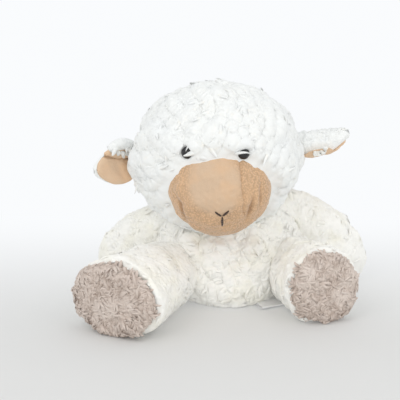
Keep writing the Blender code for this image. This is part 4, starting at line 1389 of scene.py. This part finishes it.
def add_object(name, data, place, target):
    """An object at a place whose own -Z axis points at a target."""
    made = bpy.data.objects.new(name, data)
    made.location = place
    made.rotation_euler = (target - made.location).to_track_quat("-Z", "Y").to_euler()
    bpy.context.scene.collection.objects.link(made)
    return made


class SHEEP_OT_stage(bpy.types.Operator):
    """Add the floor, the lamps and the camera"""

    bl_idname = "sheep.stage"
    bl_label = "Stage"

    def execute(self, context):
        scene = context.scene
        scene.view_settings.view_transform = "Standard"
        mesh = bpy.data.meshes.new("floor")
        mesh.from_pydata([(-4, -3, 0), (4, -3, 0), (4, 6, 0), (-4, 6, 0)], [], [(0, 1, 2, 3)])
        floor = bpy.data.objects.new("floor", mesh)
        scene.collection.objects.link(floor)
        material, tree, shader = new_material("paper_floor")
        mesh.materials.append(material)
        grain = mix_colour(tree, noise(tree, 30.0), tone(colours().floor, 0.985), tone(colours().floor))
        coat(tree, shader, grain, roughness=0.9, specular=0.1)
        split = tree.nodes.new("ShaderNodeSeparateXYZ")
        tree.links.new(object_place(tree), split.inputs[0])
        fade = ranged(tree, split.outputs["Y"], -0.16, 0.22)
        glow = tree.nodes.new("ShaderNodeEmission")
        glow.inputs[0].default_value = PAPER
        mix_shaders(tree, fade, shader.outputs[0], glow.outputs[0], "Material Output")

        world = bpy.data.worlds.new("studio")
        scene.world = world
        world.use_nodes = True
        tree = world.node_tree
        ambient = tree.nodes["Background"]
        ambient.inputs[0].default_value = (0.97, 0.985, 1.0, 1)
        ambient.inputs[1].default_value = 0.84
        paper = tree.nodes.new("ShaderNodeBackground")
        paper.inputs[0].default_value = PAPER
        path = tree.nodes.new("ShaderNodeLightPath")
        seen = arithmetic(tree, "MAXIMUM", path.outputs["Is Camera Ray"], path.outputs["Is Glossy Ray"])
        mix_shaders(tree, seen, ambient.outputs[0], paper.outputs[0], "World Output")

        for name, place, power in LAMPS:
            lamp = bpy.data.lights.new(name, "AREA")
            lamp.size, lamp.energy = 0.9, power
            lamp.color = (1.0, 0.985, 0.96)
            add_object(name, lamp, place, Vector((0, 0, 0.09)))

        lens = bpy.data.cameras.new("camera")
        lens.lens, lens.sensor_width = 99.0, 36.0
        rise, distance = math.radians(17), 1.1
        target = Vector((-0.029, 0.0, 0.0889))
        place = target + distance * Vector((0, -math.cos(rise), math.sin(rise)))
        scene.camera = add_object("camera", lens, place, target)
        return {"FINISHED"}


OPERATORS = (
    SHEEP_OT_stage,
    SHEEP_OT_body,
    SHEEP_OT_head,
    SHEEP_OT_muzzle,
    SHEEP_OT_eyes,
    SHEEP_OT_stitches,
    SHEEP_OT_ears,
    SHEEP_OT_arms,
    SHEEP_OT_legs,
    SHEEP_OT_tail,
    SHEEP_OT_label,
)


class SHEEP_PT_panel(bpy.types.Panel):
    """The sheep's pieces and settings"""

    bl_idname = "SHEEP_PT_panel"
    bl_label = "Plush sheep"
    bl_space_type = "VIEW_3D"
    bl_region_type = "UI"
    bl_category = "Sheep"

    def draw(self, context):
        for operator in OPERATORS:
            self.layout.operator(operator.bl_idname)
        for settings in (context.scene.sheep_sizes, context.scene.sheep_colours):
            box = self.layout.box()
            for name in settings.bl_rna.properties.keys():
                if name not in ("rna_type", "name"):
                    box.prop(settings, name)


CLASSES = (SheepSizes, SheepColours, *OPERATORS, SHEEP_PT_panel)


def register():
    for cls in CLASSES:
        bpy.utils.register_class(cls)
    bpy.types.Scene.sheep_sizes = PointerProperty(type=SheepSizes)
    bpy.types.Scene.sheep_colours = PointerProperty(type=SheepColours)


def unregister():
    del bpy.types.Scene.sheep_colours
    del bpy.types.Scene.sheep_sizes
    for cls in reversed(CLASSES):
        bpy.utils.unregister_class(cls)


def main():
    register()
    for obj in list(bpy.data.objects):
        if obj.name in ("Cube", "Light", "Camera"):
            bpy.data.objects.remove(obj)
    for operator in OPERATORS:
        getattr(bpy.ops.sheep, operator.bl_idname.split(".")[1])()
    bpy.context.view_layer.update()


if __name__ == "__main__":
    main()
